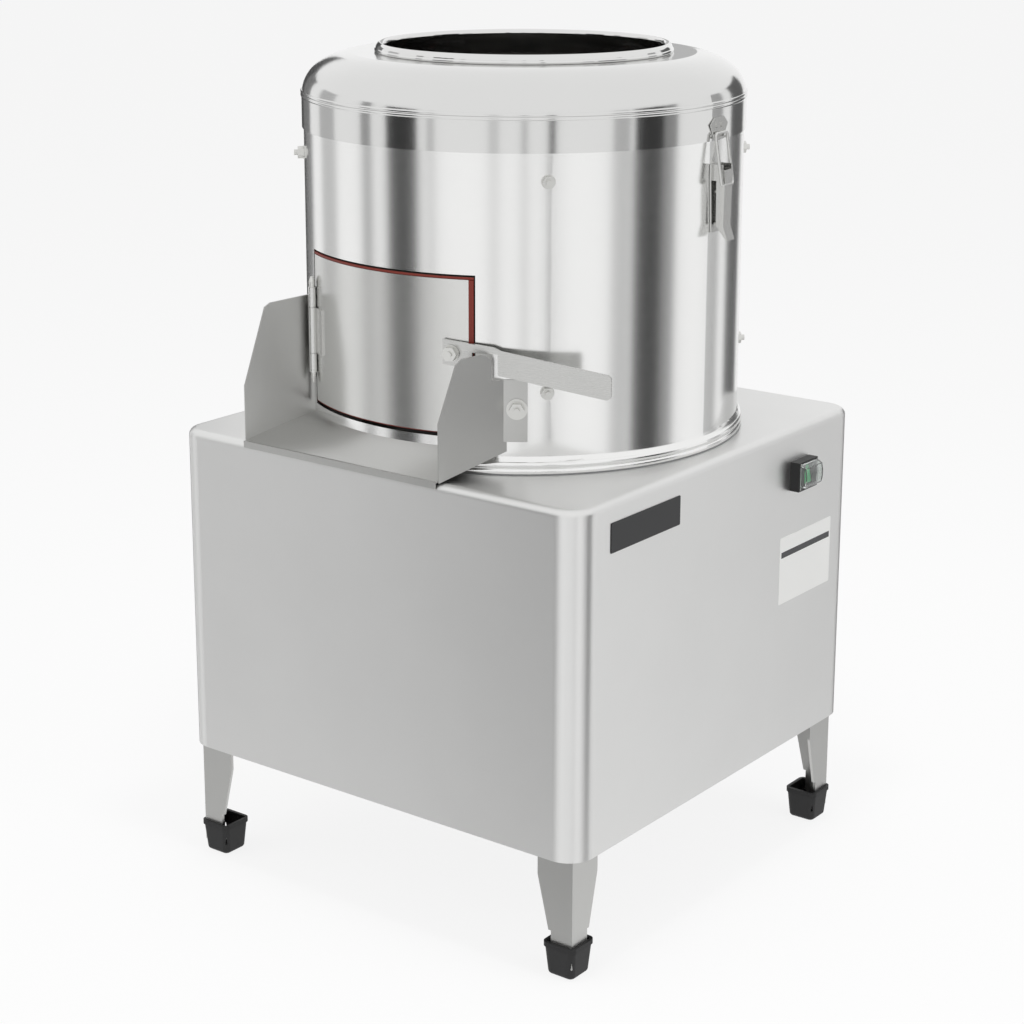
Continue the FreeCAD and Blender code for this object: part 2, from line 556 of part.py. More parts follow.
def cheek(name, x, points):
    """Upright cheek plate, drawn along its own line and cut to the tub's wall."""
    body = padded(name, "XZ_Plane", points, "ChuteSheet")
    place(body, x, "-CabinetDepth / 2 + ChuteSheet", "CabinetTop", Rotation(Vector(0, 0, 1), val("ChuteSlant")))
    return cut(name + "_fit", body, rod(name + "_tub", "TubRadius + RingOut + 1", "2 * BeadHeight + 6", z="CabinetTop"),
               rod(name + "_wall", "TubRadius", 300, z="CabinetTop"))


left_run = meet(val("ChuteLeftX"), reach) + 4
right_run = meet(val("ChuteRightX"), reach) + 8
left_rise = "(ChuteFloorRear - ChuteSheet - CabinetTop) * %.6f" % (left_run / meet(val("ChuteLeftX"), reach))
right_rise = "(ChuteFloorRear - ChuteSheet - CabinetTop) * %.6f" % (right_run / meet(val("ChuteRightX"), reach))
node("chute_cheek_left", cheek("left_cheek", "ChuteLeftX", [
    (0, 0), (left_run, left_rise), (left_run, "CheekLeftTop + 6"), (30, "CheekLeftTop"), (24, "CheekLeftTop - 4"),
    (0, "CheekFront")]))
out_of_pivot = Vector(math.sin(math.radians(val("PivotAngle"))), -math.cos(math.radians(val("PivotAngle"))), 0)
lever_face = val("TubRadius + LeverStandOff + LeverSteel") + 1.2
cheek_start = Vector(val("ChuteRightX"), front, 0)
right_rear = (cheek_start.dot(out_of_pivot) - lever_face) / -along.dot(out_of_pivot)
right_plate = cheek("right_cheek", "ChuteRightX", [
    (0, 0), (right_run, right_rise), (right_run, "CheekRightTop - 27"), (right_rear, "CheekRightTop - 27"),
    (right_rear, "CheekRightTop - 12"), (right_rear - 12, "CheekRightTop", 12, "left"),
    (25, "CheekRightTop - 2"), (19, "CheekRightTop - 7"), (0, "CheekFront")])
flange_left = math.degrees(math.atan2(val("ChuteRightX") + along.x * meet(val("ChuteRightX"), reach),
                                      -(front + along.y * meet(val("ChuteRightX"), reach))))
flange = sector("cheek_flange", "TubRadius", "TubRadius + ChuteSheet", "ChuteFloorRear + 8",
                "CabinetTop + CheekRightTop - 27", "%.4f" % (flange_left - 0.4), "%.4f" % (flange_left + 5.6))
flange_angle = "%.4f" % (flange_left + 3)
flange_bore = rod("flange_bore", "BoltRadius", 40, seat=radial(flange_angle, "TubRadius - 20", "CabinetTop + 66"))
node("chute_cheek_right", cut("chute_cheek_right", fuse("right_cheek_flanged", right_plate, flange), flange_bore))
chute_nut = fuse("chute_nut", rod("chute_nut_washer", "0.8 * (NutFlats + 2)", 1.2),
                 prism("chute_nut_hex", "NutFlats + 2", 6.5, z=1.2), rod("chute_nut_stud", "BoltRadius", 11))
scatter("chute_bolt", chute_nut, [radial(flange_angle, "TubRadius + ChuteSheet", "CabinetTop + 66")])

floor_front = front - val("ChuteSheet")


def floor_corner(x, radius, side):
    """Point where a cheek's inner face meets a circle round the tub."""
    shift = across * (-val("ChuteSheet") if side else 0.0)
    start = Vector(x, front + val("ChuteSheet"), 0) + shift
    b = start.dot(along)
    run = -b - math.sqrt(b * b - start.dot(start) + radius ** 2)
    return start + along * run


def floor_start(x, side):
    """Point where a cheek's inner face meets the cabinet's front."""
    shift = across * (-val("ChuteSheet") if side else 0.0)
    start = Vector(x, front + val("ChuteSheet"), 0) + shift
    return start + along * ((front - start.y) / along.y)


left_rear = floor_corner(val("ChuteLeftX"), reach, True)
right_rear_point = floor_corner(val("ChuteRightX"), reach, False)
left_front = floor_start(val("ChuteLeftX"), True)
right_front = floor_start(val("ChuteRightX"), False)
rear_z = val("ChuteFloorRear")
front_z = val("CabinetTop") + val("ChuteSheet")
arc = Part.Arc(Vector(left_rear.x, left_rear.y, rear_z), Vector(0, -reach, rear_z),
               Vector(right_rear_point.x, right_rear_point.y, rear_z)).toShape()
line = Part.LineSegment(Vector(left_front.x, front, front_z), Vector(right_front.x, front, front_z)).toShape()
slope = Part.makeRuledSurface(line, arc).extrude(Vector(0, 0, -val("ChuteSheet")))
lip = Part.makeBox(right_front.x - left_front.x, val("ChuteSheet"), val("ChuteLip") + val("ChuteSheet"),
                   Vector(left_front.x, floor_front, front_z - val("ChuteLip") - val("ChuteSheet")))
keep_out = Part.makeCylinder(val("TubRadius + RingOut + 1"), val("2 * BeadHeight + 6"), Vector(0, 0, val("CabinetTop")))
chute = add("Part::Feature", "chute_floor")
chute.Shape = slope.fuse(lip).cut(keep_out)
node("chute_floor", chute)

# Discharge door: curved panel in a rubber seal, on a three-knuckle barrel hinge.
door = sector("door_sheet", "TubRadius - DoorSheet + 0.5", "TubRadius + 0.5", "DoorLow", "DoorTop", "-DoorLeft",
              "DoorRight")
seal_outer = sector("seal_outer", "TubRadius - SealThick + 0.8", "TubRadius + 0.8", "DoorLow - SealWidth",
                    "DoorTop + SealWidth", "-DoorLeft", "DoorRight + 1.45")
seal_inner = sector("seal_inner", "TubRadius - 20", "TubRadius + 20", "DoorLow", "DoorTop", "-DoorLeft - 1",
                    "DoorRight")
node("door_seal", cut("door_seal", seal_outer, seal_inner))
pad_sheet = sector("door_pad", "TubRadius - DoorSheet - 4", "TubRadius - DoorSheet + 0.5", "DoorLow + 4",
                   "DoorTop - 4", "-DoorLeft + 3", "DoorRight - 1.5")
pivot_seat = radial("PivotAngle", "TubRadius - 30", "PivotHeight")
node("door_abrasive_pad", cut("door_pad_cut", pad_sheet, rod("pad_pivot_bore", "BoltRadius", 60, seat=pivot_seat)))
node("door_panel", cut("door_panel_cut", door, rod("door_pivot_bore", "BoltRadius", 60, seat=pivot_seat)))

hinge_radius = "TubRadius + HingeOut"
hinge_x = "-(%s) * sin(HingeAngle)" % hinge_radius
hinge_y = "-(%s) * cos(HingeAngle)" % hinge_radius


def knuckle(name, low, top):
    return rod(name, "KnuckleRadius", "(%s) - (%s)" % (top, low), hinge_x, hinge_y, low)


pin_hole = rod("hinge_fixed_bore", "HingePin + RunningGap", 300, hinge_x, hinge_y, "HingeLow - 60")
fixed_upper = knuckle("hinge_fixed_upper", "DoorKnuckleTop + 0.4", "HingeTop")
fixed_lower = knuckle("hinge_fixed_lower", "HingeLow", "DoorKnuckleLow - 0.4")
fixed_leaf = sector("hinge_fixed_plate", "TubRadius", "TubRadius + 1.6", "HingeLow", "HingeTop", "-HingeAngle - 2.8",
                    "-HingeAngle - 1.6")
leaf_webs = [sector("hinge_web_%s" % n, "TubRadius", "TubRadius + 1.6", lo, hi, "-HingeAngle - 2", "-HingeAngle + 0.2")
             for n, lo, hi in (("upper", "DoorKnuckleTop + 0.4", "HingeTop"),
                               ("lower", "HingeLow", "DoorKnuckleLow - 0.4"))]
clear_door = sector("hinge_clear", "TubRadius - 5", "TubRadius + 0.9", "DoorLow - 9", "DoorTop + 9",
                    "-DoorLeft - 1", "DoorRight")
node("hinge_fixed_leaf", cut("hinge_leaf_cut", fuse("hinge_fixed_body", fixed_upper, fixed_lower, fixed_leaf,
                                                   *leaf_webs), pin_hole, clear_door))
door_barrel = knuckle("hinge_door_barrel", "DoorKnuckleLow", "DoorKnuckleTop")
door_leaf = sector("hinge_door_plate", "TubRadius + 0.5", "TubRadius + 2.1", "DoorKnuckleLow", "DoorKnuckleTop",
                   "-HingeAngle + 0.3", "-HingeAngle + 5")
door_bore = rod("hinge_door_bore", "HingePin + RunningGap", 300, hinge_x, hinge_y, "HingeLow - 60")
door_under = sector("hinge_door_under", "TubRadius - 5", "TubRadius + 0.5", "DoorLow - 9", "DoorTop + 9",
                    "-DoorLeft - 2", "DoorRight")
node("hinge_door_leaf", cut("hinge_door_cut", fuse("hinge_door_body", door_barrel, door_leaf), door_bore, door_under))
pin = turned("pin", [(0, "HingeLow - HingeTips"), ("HingePin - 0.5", "HingeLow - HingeTips"),
                     ("HingePin + 0.8", "HingeLow - 4"), ("HingePin + 0.8", "HingeLow"), ("HingePin", "HingeLow"),
                     ("HingePin", "HingeTop"), ("HingePin + 1", "HingeTop"), ("HingePin + 1.3", "HingeTop + 6"),
                     ("HingePin - 0.5", "HingeTop + HingeTips"), (0, "HingeTop + HingeTips")])
node("hinge_pin", place(pin, hinge_x, hinge_y, 0))

# Door lever: straight flat bar on a bolt through the door, notched below where it passes the cheek.
lever_in = "TubRadius + LeverStandOff"
half_bar = "LeverHeight / 2"


def bar_middle(x):
    """Height of the bar's middle line at a distance from its pivot."""
    return "-(%s) * tan(LeverDroop)" % x


lever_side = [("-LeverTail", "LeverHeight / 2 + 1"), ("-LeverTail", "1 - LeverHeight / 2"),
              ("NotchStart", "%s - %s" % (bar_middle("NotchStart"), half_bar)), ("NotchStart", "NotchTop"),
              ("NotchEnd", "NotchTop"), ("NotchEnd", "%s - %s" % (bar_middle("NotchEnd"), half_bar)),
              ("LeverLength - 5", "%s - %s" % (bar_middle("LeverLength - 5"), half_bar)),
              ("LeverLength", "%s - %s + 5" % (bar_middle("LeverLength"), half_bar), 5, "left"),
              ("LeverLength", "%s + %s - 5" % (bar_middle("LeverLength"), half_bar)),
              ("LeverLength - 5", "%s + %s" % (bar_middle("LeverLength - 5"), half_bar), 5, "left"),
              ("NotchEnd + 3", "%s + %s" % (bar_middle("NotchEnd + 3"), half_bar)),
              ("NotchEnd - 5", "%s + %s + 2" % (bar_middle("NotchEnd - 5"), half_bar))]
lever_bar = padded("lever_bar", "XZ_Plane", lever_side, "LeverSteel")
place(lever_bar, 0, "-(%s)" % lever_in, "PivotHeight")
lever_bore = rod("lever_bore", "BoltRadius + RunningGap", 400, 0, 0, "PivotHeight", Rotation(Vector(1, 0, 0), 90))
lever = cut("lever_bored", lever_bar, lever_bore)
lever.Placement = Placement(Vector(), around("PivotAngle"))
node("door_lever", lever)
pivot = fuse("pivot_bolt", rod("pivot_head", "2.1 * BoltRadius", 2, z="-DoorSheet - 6.1"),
             rod("pivot_shank", "BoltRadius", "DoorSheet + 4.1 + LeverStandOff + LeverSteel + 10", z="-DoorSheet - 4.1"),
             rod("pivot_spacer", 6, "LeverStandOff - 0.8", z=0.5),
             rod("pivot_washer", 8.2, 1.2, z="LeverStandOff + LeverSteel + 0.3"),
             prism("pivot_nut", "NutFlats + 2", 6.5, z="LeverStandOff + LeverSteel + 1.5"))
pivot.Placement = radial("PivotAngle", "TubRadius", "PivotHeight")
node("lever_pivot_bolt", pivot)

# Lid: skirt and double bead, pressed dome and rolled collar round the feed opening.
skirt_in = "TubRadius + LidGap"
skirt_out = "TubRadius + LidGap + LidSheet"
band = turned("band", [(skirt_in, "BandLow"), (skirt_out, "BandLow"), (skirt_out, "BeadLow"),
                       (skirt_out, "(BeadLow + DomeLow) / 2", 2.2, "left"), (skirt_out, "DomeLow", 2.2, "left"),
                       ("TubRadius - 4", "DomeLow"), ("TubRadius - 4", "TubTop + LidGap"),
                       (skirt_in, "TubTop + LidGap")])
node("lid_band", band)
dome = turned("dome", [("TubRadius + 1", "DomeLow"), ("TubRadius - 17", "DomeLow + 26.5", 36, "left"),
                       ("TubRadius - 50", "DomeTop", 74, "left"), ("CollarOut - 4", "DomeTop"),
                       ("CollarOut - 4", "DomeTop - LidSheet"), ("TubRadius - 50.3", "DomeTop - LidSheet"),
                       ("TubRadius - 18", "DomeLow + 25.4", 72.5, "right"),
                       ("TubRadius + 1 - LidSheet", "DomeLow", 34.5, "right")])
node("lid_dome", dome)
collar = turned("collar", [("OpeningRadius", "DomeTop - 16"), ("OpeningRadius + 2", "DomeTop - 16"),
                           ("OpeningRadius + 2", "DomeTop - LidSheet - 2"), ("CollarOut - 4", "DomeTop - LidSheet - 2"),
                           ("CollarOut - 4", "DomeTop"), ("CollarOut - 0.5", "DomeTop"),
                           ("CollarOut - 0.5", "DomeTop + 4", 2.2, "left"),
                           ("OpeningRadius + 4", "OverallHeight", 6.5, "left"),
                           ("OpeningRadius", "OverallHeight - 4", 4, "left")])
node("feed_collar", collar)

# Toggle latches: keeper on the skirt, base on the tub, lever and wire bail.
LATCHES = (("right", "LatchAngle"), ("left", "LatchAngle + 180"))
keeper_plate = padded("keeper_plate", "XY_Plane", [
    ("-KeeperHalf", "KeeperLow + 14"), ("-KeeperHalf + 8", "KeeperLow"), ("KeeperHalf - 8", "KeeperLow"),
    ("KeeperHalf", "KeeperLow + 14"), ("KeeperHalf - 8", "KeeperTop"), ("-KeeperHalf + 8", "KeeperTop")],
    "KeeperSheet")
keeper_ledge = box("keeper_ledge", "2 * KeeperHalf - 16", 2.2, "KeeperLedge", "-KeeperHalf + 8", "KeeperLow", 0)
keeper_rivets = [rod("keeper_rivet_%d" % k, 2.6, "KeeperSheet + 1", x, "KeeperTop - 8", 0)
                 for k, x in enumerate((-5, 5))]
keeper = fuse("keeper", keeper_plate, keeper_ledge, *keeper_rivets)
scatter("latch_keepers", keeper, [radial(angle, skirt_out, 0) for _, angle in LATCHES])


def wire_loop(wire, points, bend):
    """Closed round wire through corner points, with bent corners."""
    edges = []
    count = len(points)
    fillets = []
    for i, corner in enumerate(points):
        back = (points[i - 1] - corner).normalize()
        ahead = (points[(i + 1) % count] - corner).normalize()
        middle = (back + ahead).normalize()
        turn_half = back.getAngle(ahead) / 2
        centre = corner + middle * (bend / math.sin(turn_half))
        trim = bend / math.tan(turn_half)
        fillets.append((corner + back * trim, centre - middle * bend, corner + ahead * trim))
    for i, (start, mid, end) in enumerate(fillets):
        edges.append(Part.Arc(start, mid, end).toShape())
        edges.append(Part.LineSegment(end, fillets[(i + 1) % count][0]).toShape())
    path = Part.Wire(edges[1:] + edges[:1])
    start = edges[1].valueAt(edges[1].FirstParameter)
    heading = edges[1].tangentAt(edges[1].FirstParameter)
    circle = Part.Wire([Part.Circle(start, heading, wire).toShape()])
    return path.makePipeShell([circle], True, False)


for side, angle in LATCHES:
    base_plate = padded("latch_base_%s_plate" % side, "XY_Plane", [
        ("-LatchBaseHalf + 3", "LatchBaseLow"), ("LatchBaseHalf - 3", "LatchBaseLow"),
        ("LatchBaseHalf", "LatchBaseTop - 14"), ("LatchBaseHalf", "LatchBaseTop"), ("-LatchBaseHalf", "LatchBaseTop"),
        ("-LatchBaseHalf", "LatchBaseTop - 14")], 2)
    ears = [box("latch_ear_%s_%d" % (side, k), "LatchSheet", 16, "LatchPivotOut + 3", x, "LatchPivot - 6", 1)
            for k, x in enumerate(("-LatchLeverHalf - 0.4 - LatchSheet", "LatchLeverHalf + 0.4"))]
    axle = rod("latch_axle_%s" % side, 2, "2 * LatchLeverHalf + 0.8 + 2 * LatchSheet",
               "-LatchLeverHalf - 0.4 - LatchSheet", "LatchPivot", "LatchPivotOut", ALONG_X)
    rivets = [rod("latch_base_rivet_%s_%d" % (side, k), 2.6, 1.2, 0, "LatchBaseLow + %d" % up, 2)
              for k, up in enumerate((8, 40))]
    base = fuse("latch_base_%s_body" % side, base_plate, axle, *ears, *rivets)
    base.Placement = radial(angle, "TubRadius + 0.1", 0)
    node("latch_base_" + side, base)

    channel = padded("latch_lever_%s_side" % side, "YZ_Plane", [
        ("LatchPivot + 5", "LatchPivotOut - 4"), ("LatchPivot + 5", "LatchPivotOut + 6"), ("LatchLeverLow + 14", 14),
        ("LatchLeverLow", 19), ("LatchLeverLow", 17.5), ("LatchLeverLow + 14", 6)],
        "2 * LatchLeverHalf", middle=True)
    hollow = padded("latch_lever_%s_hollow" % side, "YZ_Plane", [
        ("LatchPivot + 6", "LatchPivotOut - 5"), ("LatchPivot + 6", "LatchPivotOut + 4.5"),
        ("LatchLeverLow + 14", 12.5), ("LatchLeverLow + 14", 4)], "2 * LatchLeverHalf - 2 * LatchSheet", middle=True)
    pin_bore = rod("latch_lever_%s_bore" % side, "2 + RunningGap", 60, -30, "LatchPivot", "LatchPivotOut", ALONG_X)
    bail_bore = rod("latch_bail_%s_bore" % side, "BailWire + RunningGap", 60, -30, "BailPivot", "BailPivotOut",
                    ALONG_X)
    lever_latch = cut("latch_lever_%s_cut" % side, channel, hollow, pin_bore, bail_bore)
    lever_latch.Placement = radial(angle, "TubRadius + 0.1", 0)
    node("latch_lever_" + side, lever_latch)

    bail_bar = "KeeperLow + 2.2 + BailWire + BailClear"
    bail_out = "LidGap + LidSheet + KeeperSheet + BailWire + 0.5"
    corners = [Vector(val(x), val(up), val(out)) for x, up, out in (
        ("-BailHalf", "BailPivot", "BailPivotOut"), ("BailHalf", "BailPivot", "BailPivotOut"),
        ("BailHalf", bail_bar, bail_out), ("-BailHalf", bail_bar, bail_out))]
    bail = add("Part::Feature", "latch_bail_%s_wire" % side)
    bail.Shape = wire_loop(val("BailWire"), corners, val("BailBend"))
    bail.Placement = radial(angle, "TubRadius + 0.1", 0)
    node("latch_bail_" + side, bail)

# Switch: housing block on the cabinet's side, rocker in its face, hinged splash cover.
side_x = "CabinetWidth / 2"
switch_block = box("switch_block", "SwitchOut", "SwitchWide", "SwitchTall", side_x, "SwitchY - SwitchWide / 2",
                   "SwitchZ - SwitchTall / 2")
switch_back = box("switch_back", 22, "SwitchWide - 8", "SwitchTall - 8", "%s - 20" % side_x,
                  "SwitchY - SwitchWide / 2 + 4", "SwitchZ - SwitchTall / 2 + 4")
rocker_well = box("switch_well", 30, "RockerWide + 0.8", "RockerTall + 0.8", "%s - 12" % side_x,
                  "SwitchY - RockerWide / 2 - 0.4", "SwitchZ - RockerTall / 2 - 0.4")
rocker_axle = rod("rocker_axle", 1.2, "RockerWide + 2", "%s + 4" % side_x, "SwitchY - RockerWide / 2 - 1", "SwitchZ",
                  ALONG_Y)
node("switch_housing", fuse("switch_housing_body", cut("switch_frame", fuse("switch_frame_body", switch_block,
                                                                       switch_back), rocker_well), rocker_axle))
rocker = padded("rocker", "XZ_Plane", [(-6, -5), (7, "-RockerTall / 2 + 1"), (10.5, "-RockerTall / 2 + 1.6"),
                                       (8.2, 0), (6.6, "RockerTall / 2 - 1"), (-6, 5)], "RockerWide", middle=True)
place(rocker, side_x, "SwitchY", "SwitchZ")
rocker_bore = rod("rocker_bore", "1.2 + RunningGap", 60, "%s + 4" % side_x, "SwitchY - 30", "SwitchZ", ALONG_Y)
node("switch_rocker", cut("switch_rocker_cut", rocker, rocker_bore))
flap_outer = padded("flap_outer", "XZ_Plane", [(0, "-SwitchTall / 2 + 2"), (6, "-SwitchTall / 2 + 5"),
                                               (7.5, 0, 30, "left"), (6, "SwitchTall / 2 - 5", 30, "left"),
                                               (0, "SwitchTall / 2 - 2")], "SwitchWide - 4", middle=True)
place(flap_outer, "%s + SwitchOut + 0.4" % side_x, "SwitchY", "SwitchZ")
flap_inner = padded("flap_inner", "XZ_Plane", [(-1, "-SwitchTall / 2 + 3.5"), (4.6, "-SwitchTall / 2 + 6.5"),
                                               (6, 0, 30, "left"), (4.6, "SwitchTall / 2 - 6.5", 30, "left"),
                                               (-1, "SwitchTall / 2 - 3.5")], "SwitchWide - 7", middle=True)
place(flap_inner, "%s + SwitchOut + 0.4" % side_x, "SwitchY", "SwitchZ")
node("switch_cover", cut("switch_cover_cut", flap_outer, flap_inner))

# Pipes: drain under the tub out of the back, and water inlet high on the back of the tub.
pipe_bend = 40.0


def drain(radius, extra):
    """Drain run: straight down, a quarter bend, then straight back."""
    x, y, z = val("DrainX"), val("DrainY"), val("DrainZ")
    top = Vector(x, y, val("FloorLow") + extra)
    low = Vector(x, y, z + pipe_bend)
    turn_mid = Vector(x, y + pipe_bend * (1 - math.cos(math.pi / 4)), z + pipe_bend * (1 - math.sin(math.pi / 4)))
    back = Vector(x, y + pipe_bend, z)
    end = Vector(x, val("CabinetDepth") / 2 + val("DrainOut") + extra, z)
    path = Part.Wire([Part.LineSegment(top, low).toShape(), Part.Arc(low, turn_mid, back).toShape(),
                      Part.LineSegment(back, end).toShape()])
    circle = Part.Wire([Part.Circle(top, Vector(0, 0, 1), radius).toShape()])
    return path.makePipeShell([circle], True, False)


pipe = add("Part::Feature", "drain_run")
pipe.Shape = drain(val("DrainRadius"), 0).cut(drain(val("DrainRadius - DrainWall"), 1))
spigot = rod("drain_spigot", "DrainRadius + 1", "DrainOut", "DrainX", "CabinetDepth / 2", "DrainZ", ALONG_Y)
flange = rod("drain_flange", "DrainRadius + 7", "DrainFlange", "DrainX", "CabinetDepth / 2", "DrainZ", ALONG_Y)
way = rod("drain_way", "DrainRadius - DrainWall", "DrainOut + 2", "DrainX", "CabinetDepth / 2 - 1", "DrainZ", ALONG_Y)
node("drain_pipe", cut("drain_open", fuse("drain_fused", pipe, spigot, flange), way))
nozzle = turned("nozzle", [("InletRadius - 2", -12), ("InletRadius", -12), ("InletRadius", 0),
                           ("InletRadius + 6", 0), ("InletRadius + 6", 3), ("InletRadius", 3),
                           ("InletRadius", "InletOut"), ("InletRadius - 2", "InletOut")])
nozzle.Placement = radial(180, "TubRadius + 0.2", "InletZ")
node("water_inlet", nozzle)
gland = fuse("cable_gland_body", prism("gland_nut", 24, 6, "GlandX", "CabinetDepth / 2", "GlandZ", ALONG_Y),
             rod("gland_body", "GlandRadius - 2", 16, "GlandX", "CabinetDepth / 2", "GlandZ", ALONG_Y),
             rod("gland_thread", "GlandRadius - 3", 16, "GlandX", "CabinetDepth / 2 - 10", "GlandZ", ALONG_Y))
node("cable_gland", cut("cable_gland_bored", gland, rod("gland_bore", 4.5, 60, "GlandX", "CabinetDepth / 2 - 20",
                                                        "GlandZ", ALONG_Y)))

# Every object has to be sound before anything is written.
doc.recompute()
for item in doc.Objects:
    if "Invalid" in item.State or "Error" in item.State:
        raise RuntimeError("%s did not build: %s" % (item.Name, item.State))
for item in PARTS:
    if item.Shape.isNull() or not item.Shape.isValid() or not item.Shape.Solids:
        raise RuntimeError("%s has no sound shape" % item.Label)
whole = FreeCAD.BoundBox()
for item in PARTS:
    whole.add(item.Shape.optimalBoundingBox(False, False))
to_middle = Vector(-(whole.XMin + whole.XMax) / 2, -(whole.YMin + whole.YMax) / 2, -whole.ZMin)
print("moved by %.4f %.4f %.4f" % tuple(to_middle))
for item in PARTS:
    item.Shape.translated(to_middle).exportStep("parts/%s.step" % item.Label)
    print("%-22s solids %d volume %.0f" % (item.Label, len(item.Shape.Solids), item.Shape.Volume))
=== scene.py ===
"""Looks of the electric potato peeler: finishes, small fitted pieces, floor, light and camera."""

import logging
import math
from dataclasses import dataclass
from enum import Enum
from typing import Callable, Iterable, Sequence

import bpy
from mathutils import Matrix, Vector


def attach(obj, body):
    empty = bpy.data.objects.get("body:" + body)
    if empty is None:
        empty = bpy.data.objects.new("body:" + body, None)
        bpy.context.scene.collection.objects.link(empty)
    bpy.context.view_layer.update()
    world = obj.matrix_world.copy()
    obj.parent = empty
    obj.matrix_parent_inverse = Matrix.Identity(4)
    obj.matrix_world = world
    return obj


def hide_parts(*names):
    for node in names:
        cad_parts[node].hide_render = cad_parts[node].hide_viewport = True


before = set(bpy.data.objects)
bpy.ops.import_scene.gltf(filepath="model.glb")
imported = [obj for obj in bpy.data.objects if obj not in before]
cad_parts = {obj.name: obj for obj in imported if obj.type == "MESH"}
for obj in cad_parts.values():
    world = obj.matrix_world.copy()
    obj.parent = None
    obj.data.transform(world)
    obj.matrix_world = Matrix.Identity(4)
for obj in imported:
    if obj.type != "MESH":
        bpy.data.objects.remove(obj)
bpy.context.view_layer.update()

log = logging.getLogger("peeler")

MM = 0.001
# Bodies of the frame that the small pieces ride on.
MACHINE, DOOR, LID = "machine", "door", "lid"
# From the tub's axis to the row's origin, which lies under the middle of the whole machine.
TO_ROW = Vector((-9.464, -21.5, 0.0))


class Grain(Enum):
    """Which way a surface's fine texture runs."""

    NONE = "none"
    UPRIGHT = "upright"
    LEVEL = "level"
    ROUND = "round"
    GRIT = "grit"
    CAST = "cast"
    MOULDED = "moulded"


@dataclass(frozen=True)
class Finish:
    """One real material with its process.

    Attributes:
        name: Material and process in plain words.
        colour: Hex sRGB colour of the bare material.
        metallic: 1 for bare metal, 0 for anything else.
        roughness: Middle roughness.
        swing: How far the grain moves the roughness either way.
        grain: Direction of the fine texture.
        grain_mm: Size of one grain feature in millimetres.
        relief_mm: Height of the bump that the grain makes.
        anisotropy: How much the highlights stretch across the grain.
        coat: Strength of a clear coat.
        clear: Share of light that passes through.
        tint: How far broad smudges move the colour, 0 to 1.
    """

    name: str
    colour: str
    metallic: float = 0.0
    roughness: float = 0.5
    swing: float = 0.0
    grain: Grain = Grain.NONE
    grain_mm: float = 1.0
    relief_mm: float = 0.0
    anisotropy: float = 0.0
    coat: float = 0.0
    clear: float = 0.0
    tint: float = 0.0


# Fine upright scratches spread each highlight into a soft, even grey.
CABINET_STEEL = Finish("stainless sheet, fine scotch-brite finish", "E0E0DF", 1.0, 0.36, 0.05, Grain.UPRIGHT,
                       0.5, 0.004, 0.3, tint=0.03)
# Nearly a mirror, with level rolling marks that smear the room into upright bands.
TUB_STEEL = Finish("stainless sheet, rolled bright-annealed", "EDEDEC", 1.0, 0.17, 0.03, Grain.LEVEL,
                   0.4, 0.002, 0.45, tint=0.02)
# A little duller than the tub, so the door reads as its own sheet.
DOOR_STEEL = Finish("stainless sheet, door, brushed level", "D8D8D6", 1.0, 0.24, 0.04, Grain.LEVEL,
                    0.45, 0.002, 0.4, tint=0.03)
# Spinning leaves faint rings, and the polish keeps the dome bright.
LID_STEEL = Finish("stainless sheet, spun and polished", "DADAD9", 1.0, 0.12, 0.03, Grain.ROUND,
                   0.4, 0.001, 0.35, tint=0.02)
# A true mirror: the rolled rim shows sharp dark and light lines.
COLLAR_STEEL = Finish("stainless sheet, rolled and mirror polished", "DEDEDD", 1.0, 0.07, 0.02, Grain.ROUND,
                      0.4, 0.0, 0.2)
# Brushed plate that looks flat grey next to the tub.
PLATE_STEEL = Finish("stainless plate, laser cut and brushed", "BEBEBC", 1.0, 0.32, 0.06, Grain.UPRIGHT,
                     0.5, 0.004, 0.35, tint=0.04)
# Grinding marks run along the bar and dull it slightly.
LEVER_STEEL = Finish("stainless flat bar, ground lengthwise", "C8C8C6", 1.0, 0.28, 0.06, Grain.LEVEL,
                     0.35, 0.003, 0.4, tint=0.03)
# Tumbling rounds the edges and clouds the reflections.
LATCH_STEEL = Finish("stainless strip, pressed and tumbled", "D0D0CE", 1.0, 0.2, 0.05, Grain.CAST, 0.7, 0.004)
# Turned metal with small soft highlights.
FASTENER_STEEL = Finish("stainless bar, turned and bright", "D6D6D3", 1.0, 0.3, 0.04, Grain.ROUND, 0.3, 0.002)
# Hard ground steel, bluish and smooth.
BEARING_STEEL = Finish("bearing steel, ground", "BFC1C2", 1.0, 0.15, 0.03)
# Matt black with a grey bloom.
FOOT_RUBBER = Finish("black rubber, moulded", "141415", 0.0, 0.55, 0.1, Grain.MOULDED, 0.9, 0.03, tint=0.15)
# Dull brick red with a wide soft sheen.
SEAL_RUBBER = Finish("red silicone rubber, extruded", "7A2A1E", 0.0, 0.5, 0.08, Grain.MOULDED, 0.8, 0.02)
# Cloth face, almost without shine.
BELT_RUBBER = Finish("EPDM belt, cloth faced", "1A1A1A", 0.0, 0.75, 0.05, Grain.LEVEL, 0.8, 0.03)
# Coarse dark grains that catch no highlight.
ABRASIVE = Finish("corundum grit, resin bonded", "3B3936", 0.0, 0.85, 0.1, Grain.GRIT, 1.6, 0.35, tint=0.35)
# Pale metal with a slightly pitted skin.
CAST_ALUMINIUM = Finish("aluminium, cast and turned", "B5B6B8", 1.0, 0.35, 0.06, Grain.CAST, 0.9, 0.02)
# Dark rough casting with a weak metal glint.
CAST_IRON = Finish("grey iron, cast", "4A4B4D", 0.7, 0.55, 0.08, Grain.CAST, 1.2, 0.05)
# Painted casting: smooth film over a coarse skin.
MOTOR_PAINT = Finish("stoved enamel, grey blue", "3F4C57", 0.0, 0.35, 0.05, Grain.CAST, 1.4, 0.03, coat=0.2)
